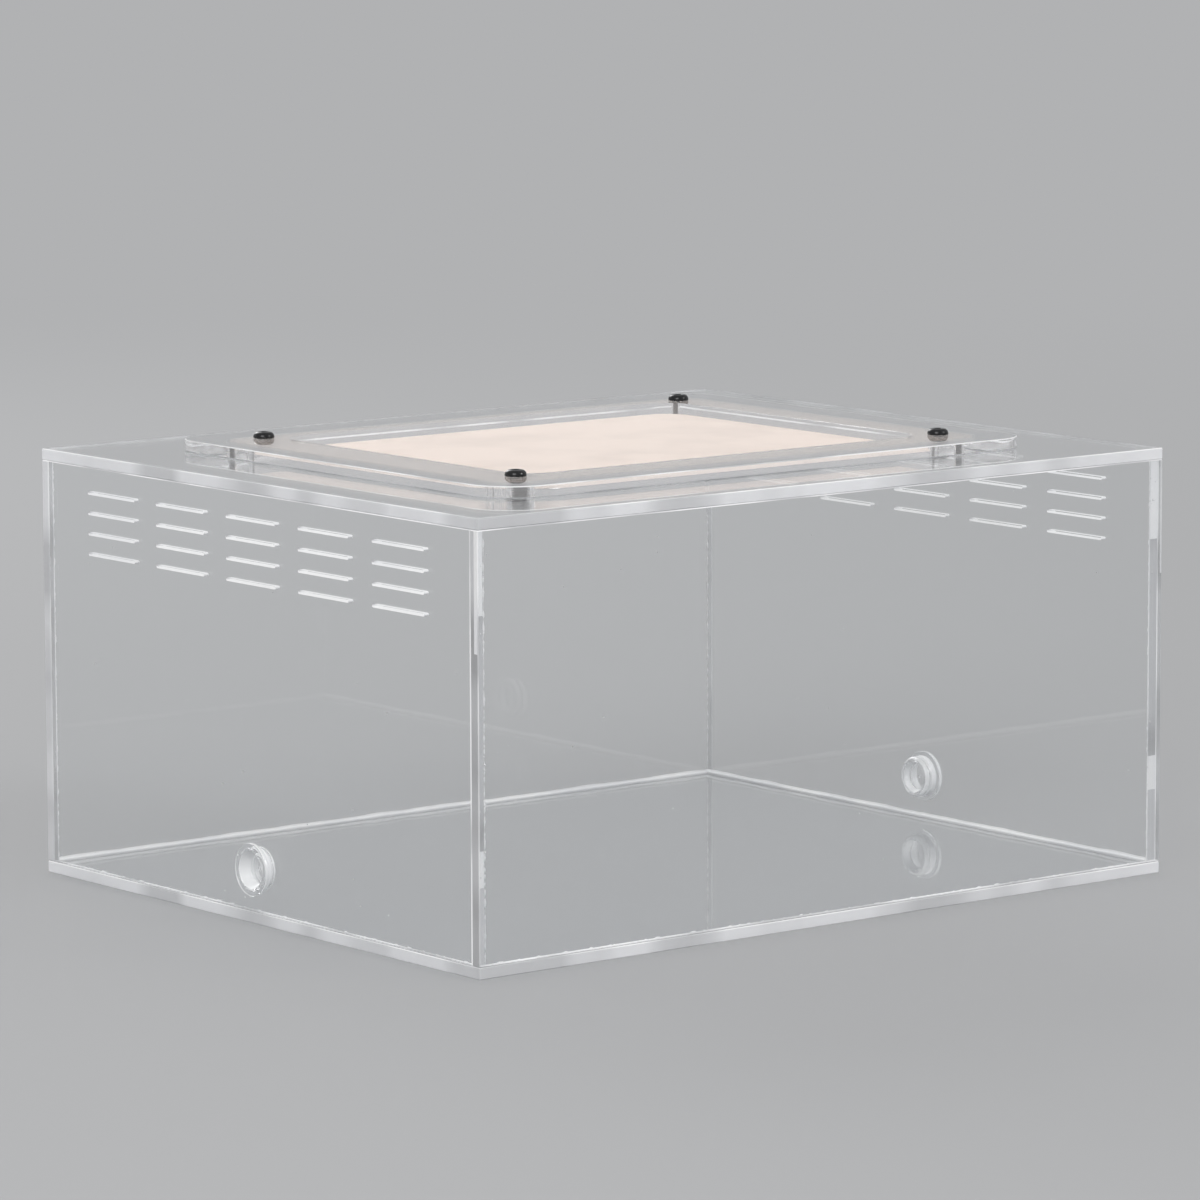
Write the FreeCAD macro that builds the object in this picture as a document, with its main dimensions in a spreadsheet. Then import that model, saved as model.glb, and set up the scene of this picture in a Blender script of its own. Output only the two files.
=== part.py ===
import FreeCAD, Part
import math
import os
from types import SimpleNamespace

import Sketcher

# Ant habitat: a clear acrylic foraging box.
#
# The box is flat sheet joined with solvent cement. The long front and back walls run the full width,
# the end walls stand between them, and the base and the roof cover the whole footprint. The roof has a
# hatch. The lid is a ring plate, a mesh and a clamp frame held by four screws: the plate lies on the
# roof and the frame drops into the hatch. Each end wall has vent slots and a plugged tube port.
#
# Millimetres. The origin is the centre of the footprint on the surface that the box stands on.
# +X is right, +Y is back, +Z is up.

DRIVING_SIZES = {
    # the box
    "box_width": 300.0,
    "box_depth": 250.0,
    "box_height": 150.0,
    "sheet": 4.0,
    "joint_film": 0.05,
    # the hatch in the roof
    "hatch_clearance": 1.0,
    # the lid: ring plate outside, frame and mesh inside it, one window through both rings
    "lid_margin_x": 32.5,
    "lid_margin_y": 29.0,
    "lid_corner": 17.0,
    "lid_overlap_x": 12.5,
    "lid_overlap_y": 15.0,
    "frame_corner": 8.0,
    "window_rim_x": 29.5,
    "window_rim_y": 26.0,
    "window_corner": 10.0,
    "mesh_thickness": 0.4,
    "mesh_columns": 12.0,
    "mesh_rows": 10.0,
    "mesh_bar": 2.0,
    # the lid screws and nuts, M4
    "screw_inset_x": 24.5,
    "screw_inset_y": 24.5,
    "screw_hole": 4.3,
    "screw_diameter": 3.9,
    "screw_length": 12.0,
    "screw_tip": 0.5,
    "head_diameter": 7.4,
    "head_height": 2.2,
    "head_round": 1.5,
    "socket_across_flats": 2.5,
    "socket_depth": 1.3,
    "nut_across_flats": 7.0,
    "nut_thickness": 3.2,
    "thread_clearance": 0.02,
    # the vent slots
    "slot_length": 28.2,
    "slot_opening": 1.0,
    "slot_columns": 5.0,
    "slot_rows": 4.0,
    "slot_column_pitch": 41.2,
    "slot_row_pitch": 7.1,
    "slot_top_drop": 13.0,
    # the tube ports and their plugs
    "port_diameter": 15.0,
    "port_rise": 18.5,
    "plug_clearance": 0.1,
    "plug_flange": 18.2,
    "plug_flange_thickness": 1.5,
    "plug_flange_round": 0.4,
    "plug_reach": 2.6,
    "plug_lead": 0.9,
    "plug_mouth": 13.0,
    "plug_cup_depth": 4.1,
    "plug_floor_bore": 10.2,
    "plug_floor": 1.6,
    "plug_recess": 11.0,
    "plug_recess_bore": 9.6,
    "rib_count": 3.0,
    "rib_pitch": 2.2,
    "rib_groove": 0.9,
    "rib_groove_depth": 0.5,
}

PART_NAME = "ant_habitat"
SHEET_NAME = "sizes"

# A pattern's list of steps holds this where the step is the pattern's even pitch.
EVEN_STEP = -1.0

# Two lengths closer than this are the same length.
SAME = 1e-6

# The lid's four corners, each with its sides in X and Y.
CORNERS = {
    "front_left": (-1, -1),
    "front_right": (1, -1),
    "back_left": (-1, 1),
    "back_right": (1, 1),
}


class Size:
    """A length that carries both its value and the sheet expression that it comes from."""

    def __init__(self, value, text):
        self.value = value
        self.text = text

    @staticmethod
    def of(number):
        return number if isinstance(number, Size) else Size(float(number), repr(float(number)))

    def __add__(self, other):
        other = Size.of(other)
        return Size(self.value + other.value, f"({self.text} + {other.text})")

    def __sub__(self, other):
        other = Size.of(other)
        return Size(self.value - other.value, f"({self.text} - {other.text})")

    def __mul__(self, other):
        other = Size.of(other)
        return Size(self.value * other.value, f"({self.text} * {other.text})")

    def __truediv__(self, other):
        other = Size.of(other)
        return Size(self.value / other.value, f"({self.text} / {other.text})")

    def __neg__(self):
        return Size(-self.value, f"(-1 * {self.text})")

    __radd__ = __add__
    __rmul__ = __mul__


doc = FreeCAD.newDocument(PART_NAME)


def write_sheet():
    """Put every driving size in the spreadsheet and return them as Size values by name."""
    sheet = doc.addObject("Spreadsheet::Sheet", SHEET_NAME)
    for row, (alias, number) in enumerate(DRIVING_SIZES.items(), start=1):
        sheet.set(f"A{row}", alias)
        sheet.set(f"B{row}", repr(number))
        sheet.setAlias(f"B{row}", alias)
    doc.recompute()
    return SimpleNamespace(
        **{alias: Size(number, f"{SHEET_NAME}.{alias}") for alias, number in DRIVING_SIZES.items()}
    )


s = write_sheet()

# Places that several pieces share, worked out from the driving sizes.
top_z = s.box_height
roof_z = top_z - s.sheet
wall_z = s.sheet + s.joint_film
wall_height = s.box_height - 2 * s.sheet - 2 * s.joint_film
end_wall_length = s.box_depth - 2 * s.sheet - 2 * s.joint_film
lid_z = top_z + s.joint_film
lid_width = s.box_width - 2 * s.lid_margin_x
lid_depth = s.box_depth - 2 * s.lid_margin_y
frame_width = lid_width - 2 * s.lid_overlap_x
frame_depth = lid_depth - 2 * s.lid_overlap_y
hatch_width = frame_width + 2 * s.hatch_clearance
hatch_depth = frame_depth + 2 * s.hatch_clearance
window_width = lid_width - 2 * s.window_rim_x
window_depth = lid_depth - 2 * s.window_rim_y
mesh_z = lid_z - s.joint_film - s.mesh_thickness
frame_z = mesh_z - s.joint_film - s.sheet
screw_x = lid_width / 2 - s.screw_inset_x
screw_y = lid_depth / 2 - s.screw_inset_y
screw_seat_z = lid_z + s.sheet + s.joint_film
nut_z = frame_z - s.joint_film - s.nut_thickness


# ---------------------------------------------------------------- sketches

def bind(thing, path, size):
    """Tie one property of an object to the sheet."""
    thing.setExpression(path, size.text)


def constrain(sketch, kind, *places, size=None):
    """Add one constraint, and tie it to the sheet where it has a size."""
    if size is None:
        return sketch.addConstraint(Sketcher.Constraint(kind, *places))
    index = sketch.addConstraint(Sketcher.Constraint(kind, *places, size.value))
    bind(sketch, f"Constraints[{index}]", size)
    return index


def new_body(name):
    body = doc.addObject("PartDesign::Body", name)
    body.Label = name
    return body


def new_sketch(body, name, plane):
    """A sketch on one of the body's own origin planes: XY_Plane, XZ_Plane or YZ_Plane."""
    sketch = body.newObject("Sketcher::SketchObject", name)
    support = next(o for o in body.Origin.OriginFeatures if o.Role == plane)
    sketch.AttachmentSupport = [(support, "")]
    sketch.MapMode = "FlatFace"
    return sketch


def place_point(sketch, index, end, x, y):
    """Fix one point of a sketch by its distances from the sketch's origin."""
    for size, kind, axis in ((x, "DistanceX", -2), (y, "DistanceY", -1)):
        size = Size.of(size)
        if size.value == 0.0:
            constrain(sketch, "PointOnObject", index, end, axis)
        else:
            constrain(sketch, kind, -1, 1, index, end, size=size)


def draw_profile(sketch, corners):
    """A closed outline of straight lines through corners, each an (x, y) pair of sizes."""
    corners = [(Size.of(x), Size.of(y)) for x, y in corners]
    points = [FreeCAD.Vector(x.value, y.value, 0) for x, y in corners]
    count = len(points)
    lines = [Part.LineSegment(points[i], points[(i + 1) % count]) for i in range(count)]
    first = sketch.addGeometry(lines, False)[0]
    for i in range(count):
        constrain(sketch, "Coincident", first + i, 2, first + (i + 1) % count, 1)
    for i, (x, y) in enumerate(corners):
        place_point(sketch, first + i, 1, x, y)


def draw_rectangle(sketch, width, height):
    """A rectangle centred on the sketch's origin."""
    x, y = width / 2, height / 2
    draw_profile(sketch, [(-x, -y), (x, -y), (x, y), (-x, y)])


def draw_rounded_rectangle(sketch, width, height, radius):
    """A rectangle with round corners, centred on the sketch's origin."""
    half_x, half_y, r = width.value / 2, height.value / 2, radius.value
    centres = [(half_x - r, -half_y + r), (half_x - r, half_y - r),
               (-half_x + r, half_y - r), (-half_x + r, -half_y + r)]
    starts = [-math.pi / 2, 0.0, math.pi / 2, math.pi]
    up = FreeCAD.Vector(0, 0, 1)
    arcs = [Part.ArcOfCircle(Part.Circle(FreeCAD.Vector(x, y, 0), up, r), a, a + math.pi / 2)
            for (x, y), a in zip(centres, starts)]
    sides = [Part.LineSegment(arcs[i - 1].EndPoint, arcs[i].StartPoint) for i in range(4)]
    arc = sketch.addGeometry(arcs, False)[0]
    side = sketch.addGeometry(sides, False)[0]
    for i in range(4):
        constrain(sketch, "Tangent", arc + (i - 1) % 4, 2, side + i, 1)
        constrain(sketch, "Tangent", side + i, 2, arc + i, 1)
        constrain(sketch, "Horizontal" if i % 2 == 0 else "Vertical", side + i)
    for i in range(1, 4):
        constrain(sketch, "Equal", arc, arc + i)
    constrain(sketch, "Radius", arc, size=radius)
    constrain(sketch, "DistanceX", side + 3, 1, side + 1, 1, size=width)
    constrain(sketch, "DistanceY", side, 1, side + 2, 1, size=height)
    constrain(sketch, "Symmetric", arc, 3, arc + 2, 3, -1, 1)


def draw_circle(sketch, x, y, diameter):
    x, y = Size.of(x), Size.of(y)
    centre = FreeCAD.Vector(x.value, y.value, 0)
    circle = Part.Circle(centre, FreeCAD.Vector(0, 0, 1), diameter.value / 2)
    index = sketch.addGeometry(circle, False)
    constrain(sketch, "Diameter", index, size=diameter)
    place_point(sketch, index, 3, x, y)


def draw_slot(sketch, x, y, length, opening):
    """A horizontal slot with round ends, centred on x, y."""
    r = opening.value / 2
    reach = (length - opening) / 2
    up = FreeCAD.Vector(0, 0, 1)
    right = Part.Circle(FreeCAD.Vector(x.value + reach.value, y.value, 0), up, r)
    left = Part.Circle(FreeCAD.Vector(x.value - reach.value, y.value, 0), up, r)
    ends = [Part.ArcOfCircle(right, -math.pi / 2, math.pi / 2),
            Part.ArcOfCircle(left, math.pi / 2, 3 * math.pi / 2)]
    sides = [Part.LineSegment(ends[1].EndPoint, ends[0].StartPoint),
             Part.LineSegment(ends[0].EndPoint, ends[1].StartPoint)]
    end = sketch.addGeometry(ends, False)[0]
    side = sketch.addGeometry(sides, False)[0]
    constrain(sketch, "Tangent", end + 1, 2, side, 1)
    constrain(sketch, "Tangent", side, 2, end, 1)
    constrain(sketch, "Tangent", end, 2, side + 1, 1)
    constrain(sketch, "Tangent", side + 1, 2, end + 1, 1)
    constrain(sketch, "Horizontal", side)
    constrain(sketch, "Radius", end, size=opening / 2)
    place_point(sketch, end, 3, x + reach, y)
    place_point(sketch, end + 1, 3, x - reach, y)


# ---------------------------------------------------------------- features

def pad(body, sketch, thickness):
    """Raise a sketch by a thickness, along its own normal."""
    feature = body.newObject("PartDesign::Pad", f"{sketch.Name}_pad")
    feature.Profile = sketch
    bind(feature, "Length", thickness)
    body.Tip = feature
    return feature


def cut_through(body, sketch):
    """Cut a sketch through the whole body, to both sides of its plane."""
    feature = body.newObject("PartDesign::Pocket", f"{sketch.Name}_cut")
    feature.Profile = sketch
    feature.Type = "ThroughAll"
    feature.SideType = "Symmetric"
    body.Tip = feature
    return feature


def repeat_in_grid(body, feature, sketch, columns, column_pitch, rows, row_pitch):
    """Repeat a cut along the sketch's horizontal axis and down its vertical axis."""
    grid = body.newObject("PartDesign::LinearPattern", f"{feature.Name}_grid")
    grid.Originals = [feature]
    grid.Direction = (sketch, ["H_Axis"])
    grid.Mode = "Spacing"
    bind(grid, "Offset", column_pitch)
    bind(grid, "Occurrences", columns)
    grid.Direction2 = (sketch, ["V_Axis"])
    grid.Mode2 = "Spacing"
    grid.Reversed2 = True
    bind(grid, "Offset2", row_pitch)
    bind(grid, "Occurrences2", rows)
    doc.recompute()
    grid.Spacings2 = [EVEN_STEP] * (grid.Occurrences2 - 1)
    body.Tip = grid
    return grid


def move(thing, x=None, y=None, z=None):
    """Tie a piece's place to the sheet."""
    for letter, size in (("x", x), ("y", y), ("z", z)):
        if size is not None:
            bind(thing, f"Placement.Base.{letter}", Size.of(size))


# ---------------------------------------------------------------- the box

def floor_or_roof(name, z):
    body = new_body(name)
    outline = new_sketch(body, f"{name}_outline", "XY_Plane")
    draw_rectangle(outline, s.box_width, s.box_depth)
    pad(body, outline, s.sheet)
    move(body, z=Size.of(z))
    return body


def base_panel():
    return floor_or_roof("base_panel", 0)


def top_panel():
    """The roof, with the round-cornered hatch that the lid's frame drops into."""
    body = floor_or_roof("top_panel", roof_z)
    hatch = new_sketch(body, "hatch", "XY_Plane")
    draw_rounded_rectangle(hatch, hatch_width, hatch_depth, s.frame_corner + s.hatch_clearance)
    cut_through(body, hatch)
    return body


def long_wall(name, back_side):
    """The front or back wall. XZ_Plane faces -Y, so the pad grows from its seat towards -Y."""
    body = new_body(name)
    outline = new_sketch(body, f"{name}_outline", "XZ_Plane")
    x = s.box_width / 2
    draw_profile(outline, [(-x, wall_z), (x, wall_z), (x, wall_z + wall_height), (-x, wall_z + wall_height)])
    pad(body, outline, s.sheet)
    half = s.box_depth / 2
    move(body, y=half if back_side else s.sheet - half)
    return body


def end_wall(name, right_side):
    """A left or right wall, with its vent slots and its tube port. YZ_Plane faces +X."""
    body = new_body(name)
    y = end_wall_length / 2
    outline = new_sketch(body, f"{name}_outline", "YZ_Plane")
    draw_profile(outline, [(-y, wall_z), (y, wall_z), (y, wall_z + wall_height), (-y, wall_z + wall_height)])
    pad(body, outline, s.sheet)

    port = new_sketch(body, f"{name}_port", "YZ_Plane")
    draw_circle(port, 0, s.port_rise, s.port_diameter)
    cut_through(body, port)

    first_column = (s.slot_columns - 1) * s.slot_column_pitch / -2
    slot = new_sketch(body, f"{name}_slot", "YZ_Plane")
    draw_slot(slot, first_column, top_z - s.slot_top_drop, s.slot_length, s.slot_opening)
    first_slot = cut_through(body, slot)
    repeat_in_grid(body, first_slot, slot, s.slot_columns, s.slot_column_pitch, s.slot_rows, s.slot_row_pitch)

    half = s.box_width / 2
    move(body, x=half - s.sheet if right_side else -half)
    return body


# ---------------------------------------------------------------- the lid

def lid_layer(name, width, depth, corner, thickness, z, windowed):
    """One flat layer of the lid: a round-cornered sheet with the screw holes. A ring has a window."""
    body = new_body(name)
    outline = new_sketch(body, f"{name}_outline", "XY_Plane")
    draw_rounded_rectangle(outline, width, depth, corner)
    pad(body, outline, thickness)
    if windowed:
        window = new_sketch(body, f"{name}_window", "XY_Plane")
        draw_rounded_rectangle(window, window_width, window_depth, s.window_corner)
        cut_through(body, window)
    holes = new_sketch(body, f"{name}_holes", "XY_Plane")
    for x_side, y_side in CORNERS.values():
        draw_circle(holes, x_side * screw_x, y_side * screw_y, s.screw_hole)
    cut_through(body, holes)
    move(body, z=z)
    return body


def vent_mesh():
    """The mesh, as a thin sheet with a grid of openings that is coarser than its woven wires."""
    body = lid_layer("vent_mesh", frame_width, frame_depth, s.frame_corner, s.mesh_thickness, mesh_z,
                     windowed=False)
    column_pitch = window_width / s.mesh_columns
    row_pitch = window_depth / s.mesh_rows
    left = (s.mesh_bar - window_width) / 2
    right = left + column_pitch - s.mesh_bar
    top = (window_depth - s.mesh_bar) / 2
    bottom = top - row_pitch + s.mesh_bar
    opening = new_sketch(body, "mesh_opening", "XY_Plane")
    draw_profile(opening, [(left, bottom), (right, bottom), (right, top), (left, top)])
    first_opening = cut_through(body, opening)
    repeat_in_grid(body, first_opening, opening, s.mesh_columns, column_pitch, s.mesh_rows, row_pitch)
    return body


def hexagonal_prism(name, across_flats, length):
    prism = doc.addObject("Part::Prism", name)
    prism.Polygon = 6
    bind(prism, "Circumradius", across_flats / math.sqrt(3))
    bind(prism, "Height", length)
    return prism


def lid_screw(corner, x_side, y_side):
    """A button-head screw, turned with its tip down, then its hexagon socket cut from the head."""
    name = f"lid_screw_{corner}"
    turned = doc.addObject("PartDesign::Body", f"{name}_turned")
    half = new_sketch(turned, f"{name}_half", "XZ_Plane")
    shank, head = s.screw_diameter / 2, s.head_diameter / 2
    draw_profile(half, [
        (0, -s.screw_length),
        (shank - s.screw_tip, -s.screw_length),
        (shank, s.screw_tip - s.screw_length),
        (shank, 0),
        (head, 0),
        (head, s.head_height),
        (0, s.head_height),
    ])
    revolve(turned, half)
    round_edges(turned, s.head_round, lambda e: is_circle(e, head.value, s.head_height.value))

    socket = hexagonal_prism(f"{name}_socket", s.socket_across_flats, s.socket_depth + s.joint_film)
    bind(socket, "Placement.Base.z", s.head_height - s.socket_depth)
    screw = doc.addObject("Part::Cut", name)
    screw.Base = turned
    screw.Tool = socket
    move(screw, x_side * screw_x, y_side * screw_y, screw_seat_z)
    return screw


def lid_nut(corner, x_side, y_side):
    """A hexagon nut on the end of a lid screw."""
    name = f"lid_nut_{corner}"
    blank = hexagonal_prism(f"{name}_blank", s.nut_across_flats, s.nut_thickness)
    bore = doc.addObject("Part::Cylinder", f"{name}_bore")
    bind(bore, "Radius", s.screw_diameter / 2 + s.thread_clearance)
    bind(bore, "Height", s.nut_thickness)
    nut = doc.addObject("Part::Cut", name)
    nut.Base = blank
    nut.Tool = bore
    move(nut, x_side * screw_x, y_side * screw_y, nut_z)
    return nut


# ---------------------------------------------------------------- the port plugs

def revolve(body, sketch):
    """Turn a half section round the sketch's vertical axis."""
    feature = body.newObject("PartDesign::Revolution", f"{sketch.Name}_turn")
    feature.Profile = sketch
    feature.ReferenceAxis = (sketch, ["V_Axis"])
    feature.Angle = 360
    body.Tip = feature
    doc.recompute()
    return feature


def is_circle(edge, radius, z):
    """True for a full round edge of this radius at this height."""
    curve = edge.Curve
    return (isinstance(curve, Part.Circle) and abs(curve.Radius - radius) < SAME
            and abs(curve.Center.z - z) < SAME)


def round_edges(body, radius, wanted):
    """Fillet the edges of the body's tip that the test picks out."""
    tip = body.Tip
    names = [f"Edge{i}" for i, edge in enumerate(tip.Shape.Edges, start=1) if wanted(edge)]
    feature = body.newObject("PartDesign::Fillet", f"{tip.Name}_round")
    feature.Base = (tip, names)
    bind(feature, "Radius", radius)
    body.Tip = feature
    doc.recompute()
    return feature


def port_plug(name, right_side):
    """A moulded plug, hollow from both ends.

    Its own +Z points out of the box, and z = 0 is where the flange seats.
    """
    body = new_body(name)
    half = new_sketch(body, f"{name}_half", "XZ_Plane")
    barrel = s.port_diameter / 2 - s.plug_clearance
    flange = s.plug_flange / 2
    end = -(s.sheet + s.joint_film + s.plug_reach)
    floor = s.plug_flange_thickness - s.plug_cup_depth
    draw_profile(half, [
        (0, floor - s.plug_floor),
        (s.plug_recess_bore / 2, floor - s.plug_floor),
        (s.plug_recess / 2, end),
        (barrel - s.plug_lead, end),
        (barrel, end + s.plug_lead),
        (barrel, 0),
        (flange, 0),
        (flange, s.plug_flange_thickness),
        (s.plug_mouth / 2, s.plug_flange_thickness),
        (s.plug_floor_bore / 2, floor),
        (0, floor),
    ])
    revolve(body, half)
    rim_heights = (0.0, s.plug_flange_thickness.value)
    round_edges(body, s.plug_flange_round,
                lambda e: any(is_circle(e, flange.value, z) for z in rim_heights))

    groove_section = new_sketch(body, f"{name}_groove_section", "XZ_Plane")
    top = -s.rib_pitch
    draw_profile(groove_section, [
        (barrel - s.rib_groove_depth, top - s.rib_groove),
        (barrel + s.plug_clearance, top - s.rib_groove),
        (barrel + s.plug_clearance, top),
        (barrel - s.rib_groove_depth, top),
    ])
    groove = body.newObject("PartDesign::Groove", f"{name}_groove")
    groove.Profile = groove_section
    groove.ReferenceAxis = (groove_section, ["V_Axis"])
    groove.Angle = 360
    body.Tip = groove
    ribs = body.newObject("PartDesign::LinearPattern", f"{name}_ribs")
    ribs.Originals = [groove]
    ribs.Direction = (groove_section, ["V_Axis"])
    ribs.Reversed = True
    ribs.Mode = "Spacing"
    bind(ribs, "Offset", s.rib_pitch)
    bind(ribs, "Occurrences", s.rib_count - 1)
    body.Tip = ribs

    outwards = 90 if right_side else -90
    body.Placement.Rotation = FreeCAD.Rotation(FreeCAD.Vector(0, 1, 0), outwards)
    seat = s.box_width / 2 + s.joint_film
    move(body, seat if right_side else -seat, 0, s.port_rise)
    return body


# ---------------------------------------------------------------- the whole part

def build():
    """Make every piece and return them in the order that they are written."""
    pieces = [
        base_panel(),
        long_wall("front_panel", back_side=False),
        long_wall("back_panel", back_side=True),
        end_wall("left_panel", right_side=False),
        end_wall("right_panel", right_side=True),
        top_panel(),
        lid_layer("lid_plate", lid_width, lid_depth, s.lid_corner, s.sheet, lid_z, windowed=True),
        vent_mesh(),
        lid_layer("clamp_frame", frame_width, frame_depth, s.frame_corner, s.sheet, frame_z,
                  windowed=True),
    ]
    for corner, sides in CORNERS.items():
        pieces.append(lid_screw(corner, *sides))
        pieces.append(lid_nut(corner, *sides))
    pieces.append(port_plug("left_port_plug", right_side=False))
    pieces.append(port_plug("right_port_plug", right_side=True))
    return pieces


def check(pieces):
    """Stop on any failed object, and on any piece that isn't one valid solid."""
    for thing in doc.Objects:
        if "Invalid" in thing.State or "Error" in thing.State:
            raise RuntimeError(f"{thing.Name} did not compute: {thing.State}")
    for piece in pieces:
        if piece.Shape.isNull() or not piece.Shape.isValid():
            raise RuntimeError(f"{piece.Label} has no valid shape")
        if len(piece.Shape.Solids) != 1:
            raise RuntimeError(f"{piece.Label} has {len(piece.Shape.Solids)} solids")


def write(pieces):
    os.makedirs("parts", exist_ok=True)
    for piece in pieces:
        piece.Shape.exportStep(f"parts/{piece.Label}.step")
        box = piece.Shape.BoundBox
        print(f"{piece.Label}: volume {piece.Shape.Volume:.1f} mm3,"
              f" z {box.ZMin:.2f} to {box.ZMax:.2f}, x {box.XMin:.2f} to {box.XMax:.2f}")


parts = build()
doc.recompute()
check(parts)
write(parts)
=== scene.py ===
"""Looks for the ant habitat, a clear acrylic foraging box with a mesh lid.

Run as a script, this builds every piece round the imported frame. It is laid out as an add-on: each
operator makes one piece or group of like pieces, and the panel in the sidebar lists them.
"""

import math

import bmesh
import bpy
from bpy.props import FloatProperty, FloatVectorProperty, IntProperty, PointerProperty
from mathutils import Matrix, Vector


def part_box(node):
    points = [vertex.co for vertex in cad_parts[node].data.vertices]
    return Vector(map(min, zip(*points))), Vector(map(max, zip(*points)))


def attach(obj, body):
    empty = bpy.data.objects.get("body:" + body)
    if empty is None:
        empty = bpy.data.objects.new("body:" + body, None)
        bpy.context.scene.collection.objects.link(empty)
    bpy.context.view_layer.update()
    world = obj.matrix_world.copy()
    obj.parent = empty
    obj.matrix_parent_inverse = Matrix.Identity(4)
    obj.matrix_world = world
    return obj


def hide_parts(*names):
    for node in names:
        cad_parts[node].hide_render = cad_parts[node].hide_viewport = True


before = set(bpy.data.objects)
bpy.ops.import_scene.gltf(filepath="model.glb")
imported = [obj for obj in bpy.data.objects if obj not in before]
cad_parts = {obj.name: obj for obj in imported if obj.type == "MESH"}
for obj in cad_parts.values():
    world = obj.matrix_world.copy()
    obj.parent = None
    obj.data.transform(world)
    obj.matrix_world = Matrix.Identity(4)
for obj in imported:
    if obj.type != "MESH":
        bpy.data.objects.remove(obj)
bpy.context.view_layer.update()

bl_info = {
    "name": "Ant Habitat",
    "version": (1, 0, 0),
    "blender": (4, 5, 0),
    "location": "3D View > Sidebar > Habitat",
    "description": "Builds a clear acrylic foraging box with a mesh lid",
    "category": "Add Mesh",
}

MM = 0.001
ROOF_BOTTOM, ROOF_TOP = (corner.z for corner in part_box("top_panel"))
SHEET_THICKNESS = ROOF_TOP - ROOF_BOTTOM
LID_CORNERS = ("front_left", "front_right", "back_left", "back_right")

# Less than any real length, in metres.
TINY = 1e-6
# Edges that turn by more than the first are eased, and by more than the others are shaded as creases.
EASED_ANGLE = math.radians(50)
SHEET_CREASE = math.radians(32)
TURNED_CREASE = math.radians(35)
# How many sides a mesh wire has.
WIRE_SIDES = 6
# From one flat of a hexagon to the next.
HEXAGON_TURN = math.radians(60)
# Corners rounded by this share of the side between them leave all but a half circle.
ROUND_HOLE, ROUND_PORT = 0.499, 0.4999
# The fixed seeds of what is scattered.
BUBBLE_SEED = 11
SOCKET_SEED = 5


def length(name, description, default):
    """A length property, in metres, shown in the scene's unit."""
    return FloatProperty(name=name, description=description, default=default, min=0.0, unit="LENGTH",
                         subtype="DISTANCE", precision=5)


def colour(name, description, default):
    """A colour property, linear."""
    return FloatVectorProperty(name=name, description=description, default=default, min=0.0, max=1.0,
                               subtype="COLOR", size=3)


def factor(name, description, default):
    """A share between 0 and 1."""
    return FloatProperty(name=name, description=description, default=default, min=0.0, max=1.0,
                         subtype="FACTOR")


# ---------------------------------------------------------------- settings

class SheetSettings(bpy.types.PropertyGroup):
    """The acrylic sheet that the box and the lid are cut from."""

    arris: length("Arris", "Width of the eased edge along a sheet's outline", 0.3 * MM)
    laser_arris: length("Laser arris", "Width of the eased edge round a laser-cut opening", 0.05 * MM)
    hatch_clearance: length("Hatch clearance", "Gap between the lid's frame and the hatch", 1.0 * MM)
    frame_corner: length("Frame corner", "Corner radius of the lid's frame and mesh", 8.0 * MM)
    plate_corner: length("Plate corner", "Corner radius of the lid plate", 17.0 * MM)
    window_rim_x: length("Window rim, sides", "Lid plate's edge to the window, left and right", 29.5 * MM)
    window_rim_y: length("Window rim, ends", "Lid plate's edge to the window, front and back", 26.0 * MM)
    window_corner: length("Window corner", "Corner radius of the window", 10.0 * MM)
    screw_hole: length("Screw hole", "Diameter of the lid's screw holes", 4.3 * MM)
    slot_length: length("Slot length", "Length of a vent slot", 28.2 * MM)
    slot_opening: length("Slot opening", "Height of a vent slot", 1.0 * MM)
    slot_columns: IntProperty(name="Slot columns", description="Vent slots side by side", default=5, min=1)
    slot_rows: IntProperty(name="Slot rows", description="Vent slots above each other", default=4, min=1)
    slot_column_pitch: length("Slot column pitch", "From one column of slots to the next", 41.2 * MM)
    slot_row_pitch: length("Slot row pitch", "From one row of slots to the next", 7.1 * MM)
    slot_top_drop: length("Slot drop", "Top of the box to the top row of slots", 13.0 * MM)
    port_diameter: length("Port diameter", "Bore of a tube port", 15.0 * MM)
    port_rise: length("Port rise", "Height of a tube port's centre", 18.5 * MM)
    face_colour: colour("Face colour", "What the polished faces let through", (0.985, 0.99, 0.992))
    edge_colour: colour("Edge colour", "Colour of the milled edges", (0.95, 0.955, 0.975))


class WeldSettings(bpy.types.PropertyGroup):
    """The solvent cement in the joints."""

    bead: length("Bead", "Widest drop of cement in a joint's inner corner", 0.6 * MM)
    rear_bead: length("Rear bead", "Width of the fillet along the base, at the back and right", 1.8 * MM)
    bubble: length("Bubble", "Largest radius of a trapped bubble", 0.45 * MM)
    bubble_gap: length("Bubble gap", "Mean distance between bubbles along a joint", 1.6 * MM)


class MeshSettings(bpy.types.PropertyGroup):
    """The steel mesh."""

    pitch: length("Pitch", "From one wire to the next", 0.55 * MM)
    wire: length("Wire", "Diameter of a wire", 0.2 * MM)
    # Pale cream, lighter than bare steel: partly the wire's tone, partly painted sheen of the lamps on it.
    wire_colour: colour("Wire colour", "Colour of the wire", (0.98, 0.87, 0.8))


class FastenerSettings(bpy.types.PropertyGroup):
    """The lid's M4 screws and nuts."""

    diameter: length("Thread diameter", "Outside of the thread", 3.9 * MM)
    thread_pitch: length("Thread pitch", "Rise of the thread in one turn", 0.7 * MM)
    thread_depth: length("Thread depth", "Depth of the thread", 0.38 * MM)
    head_height: length("Head height", "Height of the button head", 2.2 * MM)
    socket: length("Socket", "Across the flats of the hexagon socket", 2.5 * MM)
    socket_depth: length("Socket depth", "Depth of the hexagon socket", 1.3 * MM)
    nut_flats: length("Nut", "Across the flats of a nut", 7.0 * MM)
    paint: colour("Black finish", "Colour of the screws and nuts", (0.012, 0.012, 0.013))


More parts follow.
